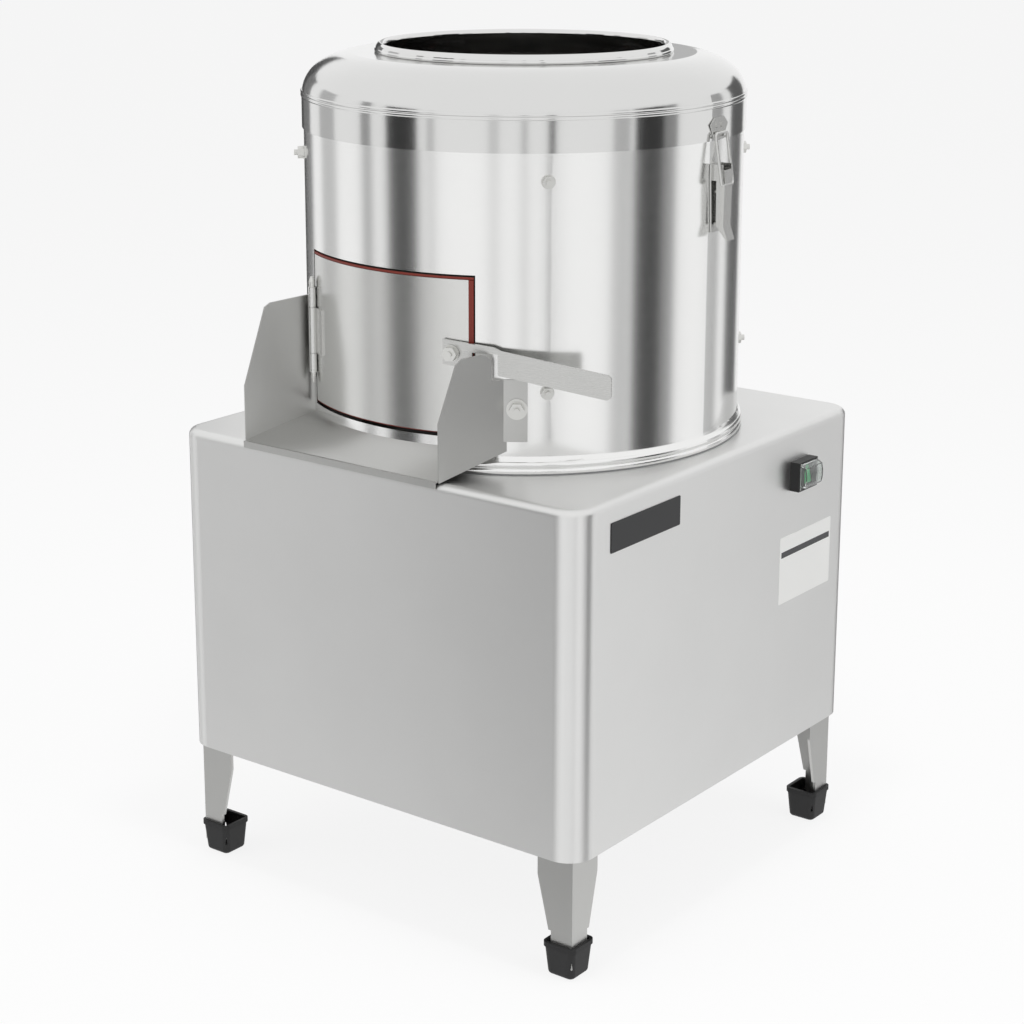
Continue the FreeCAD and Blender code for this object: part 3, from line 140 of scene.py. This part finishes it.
# Deep black with a satin sheen.
BLACK_ABS = Finish("black ABS, moulded matt", "0A0A0B", 0.0, 0.42, 0.06, Grain.MOULDED, 0.5, 0.01)
# Strong green with a glossy face.
GREEN_ROCKER = Finish("green polycarbonate, moulded", "12B868", 0.0, 0.2, 0.03, coat=0.2)
# Clear as glass, seen mostly by its edges and reflections.
CLEAR_COVER = Finish("clear polycarbonate, moulded", "F2F6F4", 0.0, 0.06, 0.02, clear=0.96)
# Black foil with a soft level sheen.
BADGE_FOIL = Finish("black anodised foil", "17181A", 0.1, 0.3, 0.05, Grain.LEVEL, 0.4, 0.001)
# Paper white with a faint gloss.
LABEL_FOIL = Finish("white polyester label", "F6F6F4", 0.0, 0.42, 0.04)
# Flat dark grey ink.
LABEL_BAND = Finish("dark grey printed band", "3C3D3F", 0.0, 0.4, 0.04)
# Soft grey bead without sharp highlights.
SEALANT = Finish("grey silicone sealant", "8C8D8E", 0.0, 0.45, 0.06, Grain.MOULDED, 1.2, 0.03)
# Duller and rougher than the sheet beside it.
WELD_STEEL = Finish("stainless weld bead, brushed", "A9A8A4", 1.0, 0.38, 0.1, Grain.CAST, 0.8, 0.05, tint=0.1)

NODE_FINISH: dict[str, Finish] = {
    "cabinet_shell": CABINET_STEEL, "base_frame": PLATE_STEEL, "motor_plate": PLATE_STEEL,
    "motor_body": MOTOR_PAINT, "motor_fan_cover": MOTOR_PAINT, "motor_terminal_box": BLACK_ABS,
    "motor_shaft": BEARING_STEEL, "motor_pulley": CAST_ALUMINIUM, "driven_pulley": CAST_ALUMINIUM,
    "v_belt": BELT_RUBBER, "motor_bolts": FASTENER_STEEL, "bearing_housing": CAST_IRON,
    "bearing_lower": BEARING_STEEL, "bearing_upper": BEARING_STEEL, "main_shaft": FASTENER_STEEL,
    "abrasive_disc": ABRASIVE, "disc_nut": FASTENER_STEEL, "tub_wall": TUB_STEEL,
    "tub_base_ring": TUB_STEEL, "tub_floor": TUB_STEEL, "abrasive_liner": ABRASIVE,
    "liner_bolts": FASTENER_STEEL, "chute_cheek_left": PLATE_STEEL, "chute_cheek_right": PLATE_STEEL,
    "chute_bolt": FASTENER_STEEL, "chute_floor": PLATE_STEEL, "door_seal": SEAL_RUBBER,
    "door_abrasive_pad": ABRASIVE, "door_panel": DOOR_STEEL, "hinge_fixed_leaf": DOOR_STEEL,
    "hinge_door_leaf": DOOR_STEEL, "hinge_pin": FASTENER_STEEL, "door_lever": LEVER_STEEL,
    "lever_pivot_bolt": FASTENER_STEEL, "lid_band": LID_STEEL, "lid_dome": LID_STEEL,
    "feed_collar": COLLAR_STEEL, "latch_keepers": LATCH_STEEL, "switch_housing": BLACK_ABS,
    "switch_rocker": GREEN_ROCKER, "switch_cover": CLEAR_COVER, "drain_pipe": TUB_STEEL,
    "water_inlet": FASTENER_STEEL, "cable_gland": BLACK_ABS, "foot_screws": FASTENER_STEEL,
}
PREFIX_FINISH = (("leg_", PLATE_STEEL), ("foot_", FOOT_RUBBER), ("latch_", LATCH_STEEL))


# Colour and material nodes


def linear(code: str) -> tuple[float, float, float, float]:
    """Turn a hex sRGB colour into linear RGBA.

    Args:
        code: Six hex digits.

    Returns:
        The colour as the shader takes it.
    """
    parts = [int(code[i:i + 2], 16) / 255 for i in (0, 2, 4)]
    return tuple(c / 12.92 if c <= 0.04045 else ((c + 0.055) / 1.055) ** 2.4 for c in parts) + (1.0,)


def add_node(tree: bpy.types.NodeTree, kind: str, **inputs: object) -> bpy.types.Node:
    """Add a shader node and set its inputs; a socket as value is linked.

    Args:
        tree: Tree to add to.
        kind: Node type, without its ShaderNode prefix.
        **inputs: Socket names in lower case with underscores, or node properties.

    Returns:
        The new node.
    """
    node = tree.nodes.new("ShaderNode" + kind)
    names = {s.name.lower().replace(" ", "_"): s for s in reversed(node.inputs)}
    for key, value in inputs.items():
        if key in names:
            socket = names[key]
            if isinstance(value, bpy.types.NodeSocket):
                tree.links.new(value, socket)
            else:
                socket.default_value = value
        else:
            setattr(node, key, value)
    return node


class MaterialShop:
    """Makes each finish's material once and hands it out."""

    # A brushing scratch is this many times as long as it is wide.
    STREAK = 90
    # Broad smudges come 9 to the metre.
    SMUDGE_SCALE = 9.0

    def __init__(self) -> None:
        """Start with no material made."""
        self.made: dict[str, bpy.types.Material] = {}

    def get(self, finish: Finish) -> bpy.types.Material:
        """Give the material of a finish.

        Args:
            finish: The finish that is wanted.

        Returns:
            Its material.
        """
        if finish.name not in self.made:
            self.made[finish.name] = self._make(finish)
        return self.made[finish.name]

    def _grain(self, tree: bpy.types.NodeTree, finish: Finish) -> bpy.types.NodeSocket:
        """Build the fine pattern of a finish, 0 to 1.

        Args:
            tree: The material's tree.
            finish: The finish.

        Returns:
            The pattern's output socket.
        """
        place = add_node(tree, "TexCoord").outputs["Object"]
        fine = 1 / (finish.grain_mm * MM)
        long = fine / self.STREAK
        streaks = {Grain.UPRIGHT: (fine, fine, long), Grain.LEVEL: (long, long, fine)}
        stretch = streaks.get(finish.grain, (fine, fine, fine))
        if finish.grain is Grain.ROUND:
            apart = add_node(tree, "SeparateXYZ", vector=place)
            flat = add_node(tree, "CombineXYZ", x=apart.outputs["X"], y=apart.outputs["Y"])
            away = add_node(tree, "VectorMath", operation="LENGTH", vector=flat.outputs[0])
            place = add_node(tree, "CombineXYZ", x=away.outputs["Value"], z=apart.outputs["Z"]).outputs[0]
        mapping = add_node(tree, "Mapping", vector=place, scale=stretch)
        if finish.grain is Grain.GRIT:
            cells = add_node(tree, "TexVoronoi", vector=mapping.outputs[0], scale=1.0)
            return cells.outputs["Distance"]
        detail = 2.0 if finish.grain in (Grain.CAST, Grain.MOULDED) else 4.0
        noise = add_node(tree, "TexNoise", vector=mapping.outputs[0], scale=1.0, detail=detail,
                         roughness=0.55)
        return noise.outputs["Fac"]

    def _make(self, finish: Finish) -> bpy.types.Material:
        """Make the material of a finish.

        Args:
            finish: The finish.

        Returns:
            The new material.
        """
        material = bpy.data.materials.new(finish.name)
        material.use_nodes = True
        tree = material.node_tree
        tree.nodes.clear()
        output = add_node(tree, "OutputMaterial")
        shader = add_node(tree, "BsdfPrincipled", base_color=linear(finish.colour), metallic=finish.metallic,
                          roughness=finish.roughness, anisotropic=finish.anisotropy, coat_weight=finish.coat,
                          transmission_weight=finish.clear)
        tree.links.new(shader.outputs[0], output.inputs["Surface"])
        if finish.anisotropy and finish.grain in (Grain.UPRIGHT, Grain.LEVEL, Grain.ROUND):
            tangent = add_node(tree, "Tangent", direction_type="RADIAL", axis="Z")
            tree.links.new(tangent.outputs[0], shader.inputs["Tangent"])
            quarter_turn = 0.25 if finish.grain is Grain.UPRIGHT else 0.0
            shader.inputs["Anisotropic Rotation"].default_value = quarter_turn
        if finish.grain is not Grain.NONE:
            pattern = self._grain(tree, finish)
            if finish.swing:
                low, high = finish.roughness - finish.swing, finish.roughness + finish.swing
                span = add_node(tree, "MapRange", value=pattern, to_min=low, to_max=high)
                tree.links.new(span.outputs[0], shader.inputs["Roughness"])
            if finish.relief_mm:
                bump = add_node(tree, "Bump", height=pattern, distance=finish.relief_mm * MM, strength=1.0)
                tree.links.new(bump.outputs[0], shader.inputs["Normal"])
        if finish.tint:
            place = add_node(tree, "TexCoord").outputs["Object"]
            smudge = add_node(tree, "TexNoise", vector=place, scale=self.SMUDGE_SCALE, detail=3.0,
                              roughness=0.5)
            ramp = add_node(tree, "MapRange", value=smudge.outputs["Fac"], to_min=1 - finish.tint,
                            to_max=1 + finish.tint)
            base = linear(finish.colour)[:3]
            shade = add_node(tree, "VectorMath", operation="SCALE", vector=base, scale=ramp.outputs[0])
            tree.links.new(shade.outputs[0], shader.inputs["Base Color"])
        return material


SHOP = MaterialShop()


# Mesh helpers


def tub_point(angle: float, radius: float, height: float) -> Vector:
    """Point on the tub by angle, radius and height.

    Args:
        angle: Degrees from the front towards the switch side.
        radius: Millimetres from the tub's axis.
        height: Millimetres above the floor.

    Returns:
        The point in metres in the row's frame.
    """
    turn = math.radians(angle)
    return (Vector((radius * math.sin(turn), -radius * math.cos(turn), height)) + TO_ROW) * MM


class Piece:
    """A mesh under construction, finished into an object that rides on a body."""

    def __init__(self, name: str) -> None:
        """Start an empty mesh.

        Args:
            name: Name of the object to come.
        """
        self.name = name
        self.points: list[Vector] = []
        self.faces: list[tuple[int, ...]] = []

    def ring_skin(self, rings: Sequence[Sequence[Vector]], capped: bool = False) -> "Piece":
        """Skin equal rings of points one after the other.

        Args:
            rings: Closed rings of points in metres.
            capped: Whether the first and last ring are filled.

        Returns:
            This piece.
        """
        start = len(self.points)
        count = len(rings[0])
        for ring in rings:
            self.points.extend(ring)
        for r in range(len(rings) - 1):
            for i in range(count):
                j = (i + 1) % count
                a, b = start + r * count, start + (r + 1) * count
                self.faces.append((a + i, a + j, b + j, b + i))
        if capped:
            last = start + (len(rings) - 1) * count
            self.faces.append(tuple(start + i for i in reversed(range(count))))
            self.faces.append(tuple(last + i for i in range(count)))
        return self

    def tube(self, path: Sequence[Vector], radius: float, sides: int) -> "Piece":
        """Skin a round tube along a path.

        Args:
            path: Points in metres.
            radius: Radius in metres.
            sides: Points round the tube.

        Returns:
            This piece.
        """
        rings = []
        normal = None
        for i, point in enumerate(path):
            ahead = (path[min(i + 1, len(path) - 1)] - path[max(i - 1, 0)]).normalized()
            if normal is None:
                normal = ahead.orthogonal().normalized()
            normal = (normal - ahead * normal.dot(ahead)).normalized()
            side = ahead.cross(normal)
            rings.append([point + (normal * math.cos(t) + side * math.sin(t)) * radius
                          for t in (2 * math.pi * k / sides for k in range(sides))])
        return self.ring_skin(rings, capped=True)

    def plate(self, outline: Sequence[tuple[float, float]], place: Callable[[float, float, float], Vector],
              thick: float, edge: float) -> "Piece":
        """Thin plate with a bevelled rim on any surface.

        Args:
            outline: Corner points in millimetres.
            place: Turns across, up and out in millimetres into a point in metres.
            thick: Thickness in millimetres.
            edge: Bevel in millimetres.

        Returns:
            This piece.
        """
        mid_x = sum(p[0] for p in outline) / len(outline)
        mid_y = sum(p[1] for p in outline) / len(outline)
        half_x = max(abs(p[0] - mid_x) for p in outline)
        half_y = max(abs(p[1] - mid_y) for p in outline)

        def shrunk(by: float, out: float) -> list[Vector]:
            """Give the outline drawn in by some millimetres, at a height over the surface."""
            kx, ky = 1 - by / half_x, 1 - by / half_y
            return [place(mid_x + (x - mid_x) * kx, mid_y + (y - mid_y) * ky, out) for x, y in outline]

        return self.ring_skin([shrunk(0, 0), shrunk(0, thick - edge), shrunk(edge, thick)], capped=True)

    def finish(self, finish: Finish, body: str, slot: str, smooth: float = 35.0) -> bpy.types.Object:
        """Make the object, with its material, on the body that it rides with.

        Args:
            finish: The piece's finish.
            body: Body of the frame.
            slot: Not used.
            smooth: Largest angle that is shaded smooth.

        Returns:
            The new object.
        """
        mesh = bpy.data.meshes.new(self.name)
        mesh.from_pydata([tuple(p) for p in self.points], [], self.faces)
        mesh.validate()
        mesh.update()
        item = bpy.data.objects.new(self.name, mesh)
        bpy.context.collection.objects.link(item)
        mesh.materials.append(SHOP.get(finish))
        mesh.shade_smooth()
        mesh.set_sharp_from_angle(angle=math.radians(smooth))
        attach(item, body)
        log.info("%s rides on %s", self.name, body)
        return item


def rounded_outline(width: float, height: float, radius: float, steps: int = 5) -> list[tuple[float, float]]:
    """Rectangle outline with round corners, about its middle.

    Args:
        width: Width in millimetres.
        height: Height in millimetres.
        radius: Corner radius in millimetres.
        steps: Points per corner.

    Returns:
        Points in order.
    """
    points = []
    for cx, cy, start in ((1, -1, -90), (1, 1, 0), (-1, 1, 90), (-1, -1, 180)):
        for k in range(steps + 1):
            turn = math.radians(start + 90 * k / steps)
            points.append((cx * (width / 2 - radius) + radius * math.cos(turn),
                           cy * (height / 2 - radius) + radius * math.sin(turn)))
    return points


# Small pieces on the object

CABINET_SIDE = 259.0
TUB_RADIUS = 228.0


def on_switch_side(mid_y: float, mid_z: float, lift: float) -> Callable[[float, float, float], Vector]:
    """Give the placing function for a plate on the cabinet's switch side.

    Args:
        mid_y: Middle of the plate in millimetres from the tub's axis.
        mid_z: Middle height in millimetres.
        lift: How far the plate's back stands off the sheet in millimetres.

    Returns:
        Function of across, up and out.
    """
    return lambda x, y, out: (Vector((CABINET_SIDE + (out + lift), mid_y + x, mid_z + y)) + TO_ROW) * MM


def arc_points(radius: float, height: float, start: float, end: float, step: float) -> list[Vector]:
    """Points of a level arc round the tub.

    Args:
        radius: Millimetres.
        height: Millimetres.
        start: First angle in degrees.
        end: Last angle in degrees.
        step: Degrees between points.

    Returns:
        Points in metres.
    """
    count = max(2, int(abs(end - start) / step) + 1)
    return [tub_point(start + (end - start) * k / (count - 1), radius, height) for k in range(count)]


@dataclass(frozen=True)
class FlatPlate:
    """One thin plate stuck on the cabinet's switch side, sizes in millimetres.

    Attributes:
        name: Object name.
        finish: Its finish.
        width: Size along the cabinet.
        height: Size upwards.
        corner: Corner radius.
        mid_y: Middle from the tub's axis.
        mid_z: Middle above the floor.
        thick: Thickness.
        edge: Bevel of the rim.
        lift: How far its back stands off the sheet.
    """

    name: str
    finish: Finish
    width: float
    height: float
    corner: float
    mid_y: float
    mid_z: float
    thick: float
    edge: float
    lift: float = 0.0

    def build(self) -> None:
        """Build the plate, dress it, and let it ride on the machine."""
        piece = Piece(self.name)
        outline = rounded_outline(self.width, self.height, self.corner)
        piece.plate(outline, on_switch_side(self.mid_y, self.mid_z, self.lift), self.thick, self.edge)
        piece.finish(self.finish, MACHINE, "black_plastic")


@dataclass(frozen=True)
class CabinetPlates:
    """Bare badge plate, and bare rating label with its band."""

    plates: tuple[FlatPlate, ...] = (
        FlatPlate("badge_plate", BADGE_FOIL, 119, 30, 1.2, -148.5, 445, 0.9, 0.3),
        FlatPlate("rating_label", LABEL_FOIL, 107, 74, 1.5, 161.5, 328.5, 0.3, 0.1),
        FlatPlate("rating_label_band", LABEL_BAND, 101, 6.5, 0.4, 161.5, 346, 0.08, 0.03, lift=0.3),
    )

    def build(self) -> None:
        """Build the plates one after the other."""
        for plate in self.plates:
            plate.build()


@dataclass(frozen=True)
class TubSeams:
    """Weld seams of the rolled sheets and the sealed joint round the tub's foot.

    Attributes:
        wall_angle: Where the tub's weld runs, in degrees round the tub.
        wall_heights: Heights along the tub's weld.
        wall_out: How far the middle of the tub's weld stands out from the wall.
        wall_bead: Radius of the tub's weld.
        joint_out: How far the middle of the foot's joint stands out from the wall.
        joint_height: Height of the foot's joint.
        joint_bead: Radius of the foot's joint.
        skirt_angle: Where the weld of the lid's skirt runs.
        skirt_heights: Heights along the skirt's weld.
        skirt_out: How far the middle of the skirt's weld stands out from the tub's wall.
        skirt_bead: Radius of the skirt's weld.
        sides: Points round each bead.
    """

    wall_angle: float = 200.0
    wall_heights: range = range(504, 794, 10)
    wall_out: float = 0.1
    wall_bead: float = 0.9
    joint_out: float = 4.2
    joint_height: float = 481.4
    joint_bead: float = 0.8
    skirt_angle: float = 205.0
    skirt_heights: range = range(797, 826, 4)
    skirt_out: float = 1.9
    skirt_bead: float = 0.7
    sides: int = 8

    def upright(self, angle: float, out: float, heights: range) -> list[Vector]:
        """Points of an upright seam.

        Args:
            angle: Degrees round the tub.
            out: Millimetres from the tub's wall.
            heights: Heights in millimetres.

        Returns:
            Points in metres.
        """
        return [tub_point(angle, TUB_RADIUS + out, height) for height in heights]

    def build(self) -> None:
        """Lay both welds and the joint."""
        wall = Piece("tub_wall_seam")
        wall.tube(self.upright(self.wall_angle, self.wall_out, self.wall_heights), self.wall_bead * MM,
                  self.sides)
        wall.finish(WELD_STEEL, MACHINE, "tub_sheet")
        joint = Piece("tub_foot_joint")
        round_foot = arc_points(TUB_RADIUS + self.joint_out, self.joint_height, 0, 358, 2)
        joint.tube(round_foot, self.joint_bead * MM, self.sides)
        joint.finish(SEALANT, MACHINE, "tub_sheet")
        skirt = Piece("lid_skirt_seam")
        skirt.tube(self.upright(self.skirt_angle, self.skirt_out, self.skirt_heights), self.skirt_bead * MM,
                   self.sides)
        skirt.finish(WELD_STEEL, LID, "lid_sheet")


@dataclass(frozen=True)
class SwitchScrews:
    """The two small screws beside the rocker.

    Attributes:
        heights: Middle heights in millimetres.
        switch_y: Middle of the switch from the tub's axis.
        aside: How far the screws lie from the middle of the switch.
        stand_out: How far the housing's face stands out from the cabinet.
        radius: Head radius.
        profile: Shares of the radius, outwards and upwards, down to the recess.
        sides: Points round the head.
    """

    heights: tuple[float, ...] = (417.5, 443.5)
    switch_y: float = 143.5
    aside: float = 15.5
    stand_out: float = 11.0
    radius: float = 1.4
    profile: tuple[tuple[float, float], ...] = (
        (1.0, 0.0), (1.0, 0.12), (0.93, 0.3), (0.75, 0.45), (0.45, 0.54), (0.18, 0.55), (0.1, 0.2))
    sides: int = 16

    def head(self, name: str, centre: Vector, out: Vector) -> None:
        """Build one domed head with a recess.

        Args:
            name: Object name.
            centre: Middle of the seat in metres.
            out: Direction away from the surface, one long.
        """
        side = out.orthogonal().normalized()
        up = out.cross(side)
        head = Piece(name)
        turns = [2 * math.pi * k / self.sides for k in range(self.sides)]
        head.ring_skin([[centre + (side * math.cos(t) + up * math.sin(t)) * self.radius * share * MM
                         + out * self.radius * rise * MM for t in turns]
                        for share, rise in self.profile], capped=True)
        head.finish(FASTENER_STEEL, MACHINE, "fastener_steel")

    def build(self) -> None:
        """Set both screws."""
        for k, height in enumerate(self.heights):
            seat = Vector((CABINET_SIDE + self.stand_out, self.switch_y - self.aside, height))
            self.head("switch_screw_%d" % k, (seat + TO_ROW) * MM, Vector((1, 0, 0)))


@dataclass(frozen=True)
class SealRun:
    """One straight run of the door's seal, by angle in degrees and height in millimetres."""

    start: float
    end: float
    low: float
    top: float


@dataclass(frozen=True)
class DoorSeal:
    """Extruded seal round three edges of the door, with a rounded outer face.

    Attributes:
        left: Angle of the hinge edge.
        right: Angle of the free edge.
        low: Height of the door's lower edge.
        top: Height of the door's upper edge.
        side_width: Width of the upright run in degrees.
        top_width: Width of the upper run in millimetres.
        low_width: Width of the lower run in millimetres.
        outs: How far the back, flank, shoulder and face stand out from the tub's wall.
        lip: Largest height of the rounded shoulder.
        step: Degrees between sections.
    """

    left: float = -31.5
    right: float = 23.5
    low: float = 520.0
    top: float = 672.5
    side_width: float = 1.25
    top_width: float = 2.4
    low_width: float = 1.2
    outs: tuple[float, float, float, float] = (-2.2, -0.3, 0.35, 0.5)
    lip: float = 0.5
    step: float = 1.5

    def runs(self) -> tuple[SealRun, ...]:
        """Give the upper, the upright and the lower run."""
        end = self.right + self.side_width
        return (SealRun(self.left, end, self.top, self.top + self.top_width),
                SealRun(self.right, end, self.low - self.low_width, self.top),
                SealRun(self.left, end, self.low - self.low_width, self.low))

    def section(self, run: SealRun, turn: float) -> list[Vector]:
        """Give the seal's section at one angle.

        Args:
            run: The run that it belongs to.
            turn: Angle in degrees.

        Returns:
            Points in metres.
        """
        lip = min(self.lip, (run.top - run.low) / 4)
        back, flank, shoulder, face = (TUB_RADIUS + out for out in self.outs)
        corners = ((back, run.low), (flank, run.low), (shoulder, run.low + lip), (face, run.low + 2 * lip),
                   (face, run.top - 2 * lip), (shoulder, run.top - lip), (flank, run.top), (back, run.top))
        return [tub_point(turn, radius, height) for radius, height in corners]

    def build(self) -> None:
        """Skin the three runs into one piece, which takes the plain seal's place."""
        seal = Piece("door_seal_strip")
        for run in self.runs():
            steps = max(2, int((run.end - run.start) / self.step) + 1)
            turns = [run.start + (run.end - run.start) * k / steps for k in range(steps + 1)]
            seal.ring_skin([self.section(run, turn) for turn in turns], capped=True)
        item = seal.finish(SEAL_RUBBER, DOOR, "seal_rubber")
        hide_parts("door_seal")


# Room, light and camera


@dataclass(frozen=True)
class Card:
    """Upright card that bright metal mirrors, standing far round the machine.

    Attributes:
        angle: Middle, degrees from the front towards the switch side.
        width: Width in degrees as seen from the machine.
        tone: Grey that it shows, 0 to 1.
    """

    angle: float
    width: float
    tone: float


@dataclass(frozen=True)
class Lamp:
    """Soft rectangular lamp, in metres and watts."""

    name: str
    place: tuple[float, float, float]
    aim: tuple[float, float, float]
    size: tuple[float, float]
    watts: float


@dataclass(frozen=True)
class Viewpoint:
    """The photograph's camera: place in millimetres from the tub's axis, angles in degrees."""

    place: tuple[float, float, float] = (1413.2, -1891.2, 1088.8)
    azimuth: float = 37.555
    pitch: float = 14.275
    sensor: float = 36.0
    lens: float = 79.84
    shift: tuple[float, float] = (0.019, -0.1)
    reach: float = 100.0


MIDDLE = (0.0, 0.0, 0.55)
CARDS = (
    Card(-49, 7, 0.34), Card(-26.5, 18, 0.04), Card(-10, 4, 0.6), Card(22, 5, 0.7), Card(37, 3, 0.55),
    Card(50.5, 3.2, 0.04), Card(86, 9, 0.55), Card(102, 17, 0.04), Card(115, 9, 0.3), Card(152, 10, 0.4),
    Card(-82, 16, 0.55), Card(-112, 16, 0.2), Card(178, 22, 0.12), Card(215, 10, 0.5), Card(235, 14, 0.08),
)
LAMPS = (
    Lamp("key_softbox", (-1.9, -2.4, 2.6), MIDDLE, (2.4, 2.4), 26),
    Lamp("side_softbox", (2.9, 0.4, 2.2), MIDDLE, (2.0, 2.2), 22),
    Lamp("top_softbox", (0.2, 0.3, 3.2), MIDDLE, (2.6, 2.6), 24),
    Lamp("drum_lamp", (0.25, -0.3, 1.9), (-0.02, 0.1, 0.8), (0.25, 0.25), 9),
)


def fresh_tree(owner: bpy.types.Material | bpy.types.World) -> bpy.types.NodeTree:
    """Empty the node tree of a material or world.

    Args:
        owner: The material or world.

    Returns:
        Its empty tree.
    """
    owner.use_nodes = True
    owner.node_tree.nodes.clear()
    return owner.node_tree


@dataclass(frozen=True)
class Studio:
    """Pale floor, soft lamps, mirrored cards and the camera.

    Attributes:
        floor_half: Half the floor's side in metres.
        paper: Grey of the floor, both as paper and as the camera sees it.
        sky: Strength of the world on matt surfaces.
        bright: Strength of the world for camera, mirror and glass.
        card_far: How far the cards stand from the tub's axis in metres.
        card_low: Height of their lower edge.
        card_top: Height of their upper edge.
        view: The camera's view.
    """

    floor_half: float = 60.0
    paper: float = 0.86
    sky: float = 0.45
    bright: float = 1.0
    card_far: float = 6.0
    card_low: float = -3.0
    card_top: float = 2.2
    view: Viewpoint = Viewpoint()

    def sheet(self, name: str, corners: Sequence[Sequence[float]],
              material: bpy.types.Material) -> bpy.types.Object:
        """Put up one flat sheet of the studio.

        Args:
            name: Object name.
            corners: Four corners in order, in metres.
            material: Its material.

        Returns:
            The new object.
        """
        mesh = bpy.data.meshes.new(name)
        mesh.from_pydata([tuple(corner) for corner in corners], [], [(0, 1, 2, 3)])
        mesh.materials.append(material)
        item = bpy.data.objects.new(name, mesh)
        bpy.context.collection.objects.link(item)
        return item

    def floor(self) -> None:
        """Lay the pale floor that keeps the object's shadow."""
        material = bpy.data.materials.new("floor, white paper")
        tree = fresh_tree(material)
        path = add_node(tree, "LightPath")
        paper = add_node(tree, "BsdfDiffuse", color=(self.paper,) * 3 + (1,))
        glow = add_node(tree, "Emission", color=(1, 1, 1, 1), strength=1.0)
        seen = add_node(tree, "Math", operation="MULTIPLY", value=path.outputs["Is Camera Ray"])
        seen.inputs[1].default_value = self.paper
        mix = add_node(tree, "MixShader")
        tree.links.new(seen.outputs[0], mix.inputs[0])
        tree.links.new(paper.outputs[0], mix.inputs[1])
        tree.links.new(glow.outputs[0], mix.inputs[2])
        output = add_node(tree, "OutputMaterial")
        tree.links.new(mix.outputs[0], output.inputs["Surface"])
        half = self.floor_half
        corners = ((-half, -half, 0), (half, -half, 0), (half, half, 0), (-half, half, 0))
        item = self.sheet("floor", corners, material)
        item.visible_glossy = False

    def card(self, index: int, card: Card) -> None:
        """Stand one mirrored card, seen only in reflections.

        Args:
            index: Number for its name.
            card: Its place and tone.
        """
        material = bpy.data.materials.new("grey card %d" % index)
        tree = fresh_tree(material)
        glow = add_node(tree, "Emission", color=(1, 1, 1, 1), strength=card.tone)
        output = add_node(tree, "OutputMaterial")
        tree.links.new(glow.outputs[0], output.inputs["Surface"])
        near, far = (math.radians(card.angle + side * card.width / 2) for side in (-1, 1))
        corners = [(self.card_far * math.sin(turn), -self.card_far * math.cos(turn), height)
                   for turn, height in ((near, self.card_low), (far, self.card_low),
                                        (far, self.card_top), (near, self.card_top))]
        item = self.sheet("card_%d" % index, corners, material)
        item.visible_camera = False
        item.visible_diffuse = False
        item.visible_shadow = False
        item.visible_transmission = False

    def world(self) -> None:
        """White background for camera, mirror and glass; dimmer sky for the rest."""
        world = bpy.data.worlds.new("studio")
        bpy.context.scene.world = world
        tree = fresh_tree(world)
        path = add_node(tree, "LightPath")
        clear = add_node(tree, "Math", operation="MAXIMUM")
        tree.links.new(path.outputs["Is Camera Ray"], clear.inputs[0])
        tree.links.new(path.outputs["Is Transmission Ray"], clear.inputs[1])
        seen = add_node(tree, "Math", operation="MAXIMUM")
        tree.links.new(clear.outputs[0], seen.inputs[0])
        tree.links.new(path.outputs["Is Glossy Ray"], seen.inputs[1])
        strength = add_node(tree, "MapRange", value=seen.outputs[0], to_min=self.sky, to_max=self.bright)
        sky = add_node(tree, "Background", color=(1, 1, 1, 1), strength=strength.outputs[0])
        output = add_node(tree, "OutputWorld")
        tree.links.new(sky.outputs[0], output.inputs["Surface"])

    def hang(self, lamp: Lamp) -> None:
        """Hang one lamp, which mirrors don't show.

        Args:
            lamp: The lamp.
        """
        data = bpy.data.lights.new(lamp.name, "AREA")
        data.shape = "RECTANGLE"
        data.size, data.size_y = lamp.size
        data.energy = lamp.watts
        item = bpy.data.objects.new(lamp.name, data)
        item.location = lamp.place
        item.rotation_euler = (Vector(lamp.aim) - Vector(lamp.place)).to_track_quat("-Z", "Y").to_euler()
        item.visible_glossy = False
        bpy.context.collection.objects.link(item)

    def camera(self) -> None:
        """Set the camera at the photograph's viewing angle."""
        view = self.view
        data = bpy.data.cameras.new("photo_camera")
        data.sensor_width = view.sensor
        data.lens = view.lens
        data.shift_x, data.shift_y = view.shift
        data.clip_end = view.reach
        item = bpy.data.objects.new("photo_camera", data)
        item.location = (Vector(view.place) + TO_ROW) * MM
        item.rotation_euler = (math.radians(90 - view.pitch), 0.0, math.radians(view.azimuth))
        bpy.context.collection.objects.link(item)
        bpy.context.scene.camera = item

    def build(self) -> None:
        """Set up the whole studio."""
        self.floor()
        for index, card in enumerate(CARDS):
            self.card(index, card)
        self.world()
        for lamp in LAMPS:
            self.hang(lamp)
        self.camera()
        bpy.context.scene.view_settings.view_transform = "Standard"


def finish_for(name: str) -> Finish:
    """Pick the finish of a node of the frame.

    Args:
        name: Node name.

    Returns:
        Its finish.
    """
    if name in NODE_FINISH:
        return NODE_FINISH[name]
    for prefix, finish in PREFIX_FINISH:
        if name.startswith(prefix):
            return finish
    raise KeyError("no finish for node %s" % name)


def dress(nodes: dict[str, bpy.types.Object]) -> None:
    """Give every node of the frame its material.

    Args:
        nodes: Node names with their objects.
    """
    for name, item in nodes.items():
        item.data.materials.clear()
        item.data.materials.append(SHOP.get(finish_for(name)))
    log.info("dressed %d nodes with %d materials", len(nodes), len(SHOP.made))


def main() -> None:
    """Dress the frame, add the small pieces, and set the studio."""
    logging.basicConfig(level=logging.INFO, format="%(name)s: %(message)s")
    dress(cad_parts)
    for part in (CabinetPlates(), TubSeams(), SwitchScrews(), DoorSeal(), Studio()):
        part.build()


if __name__ == "__main__":
    main()
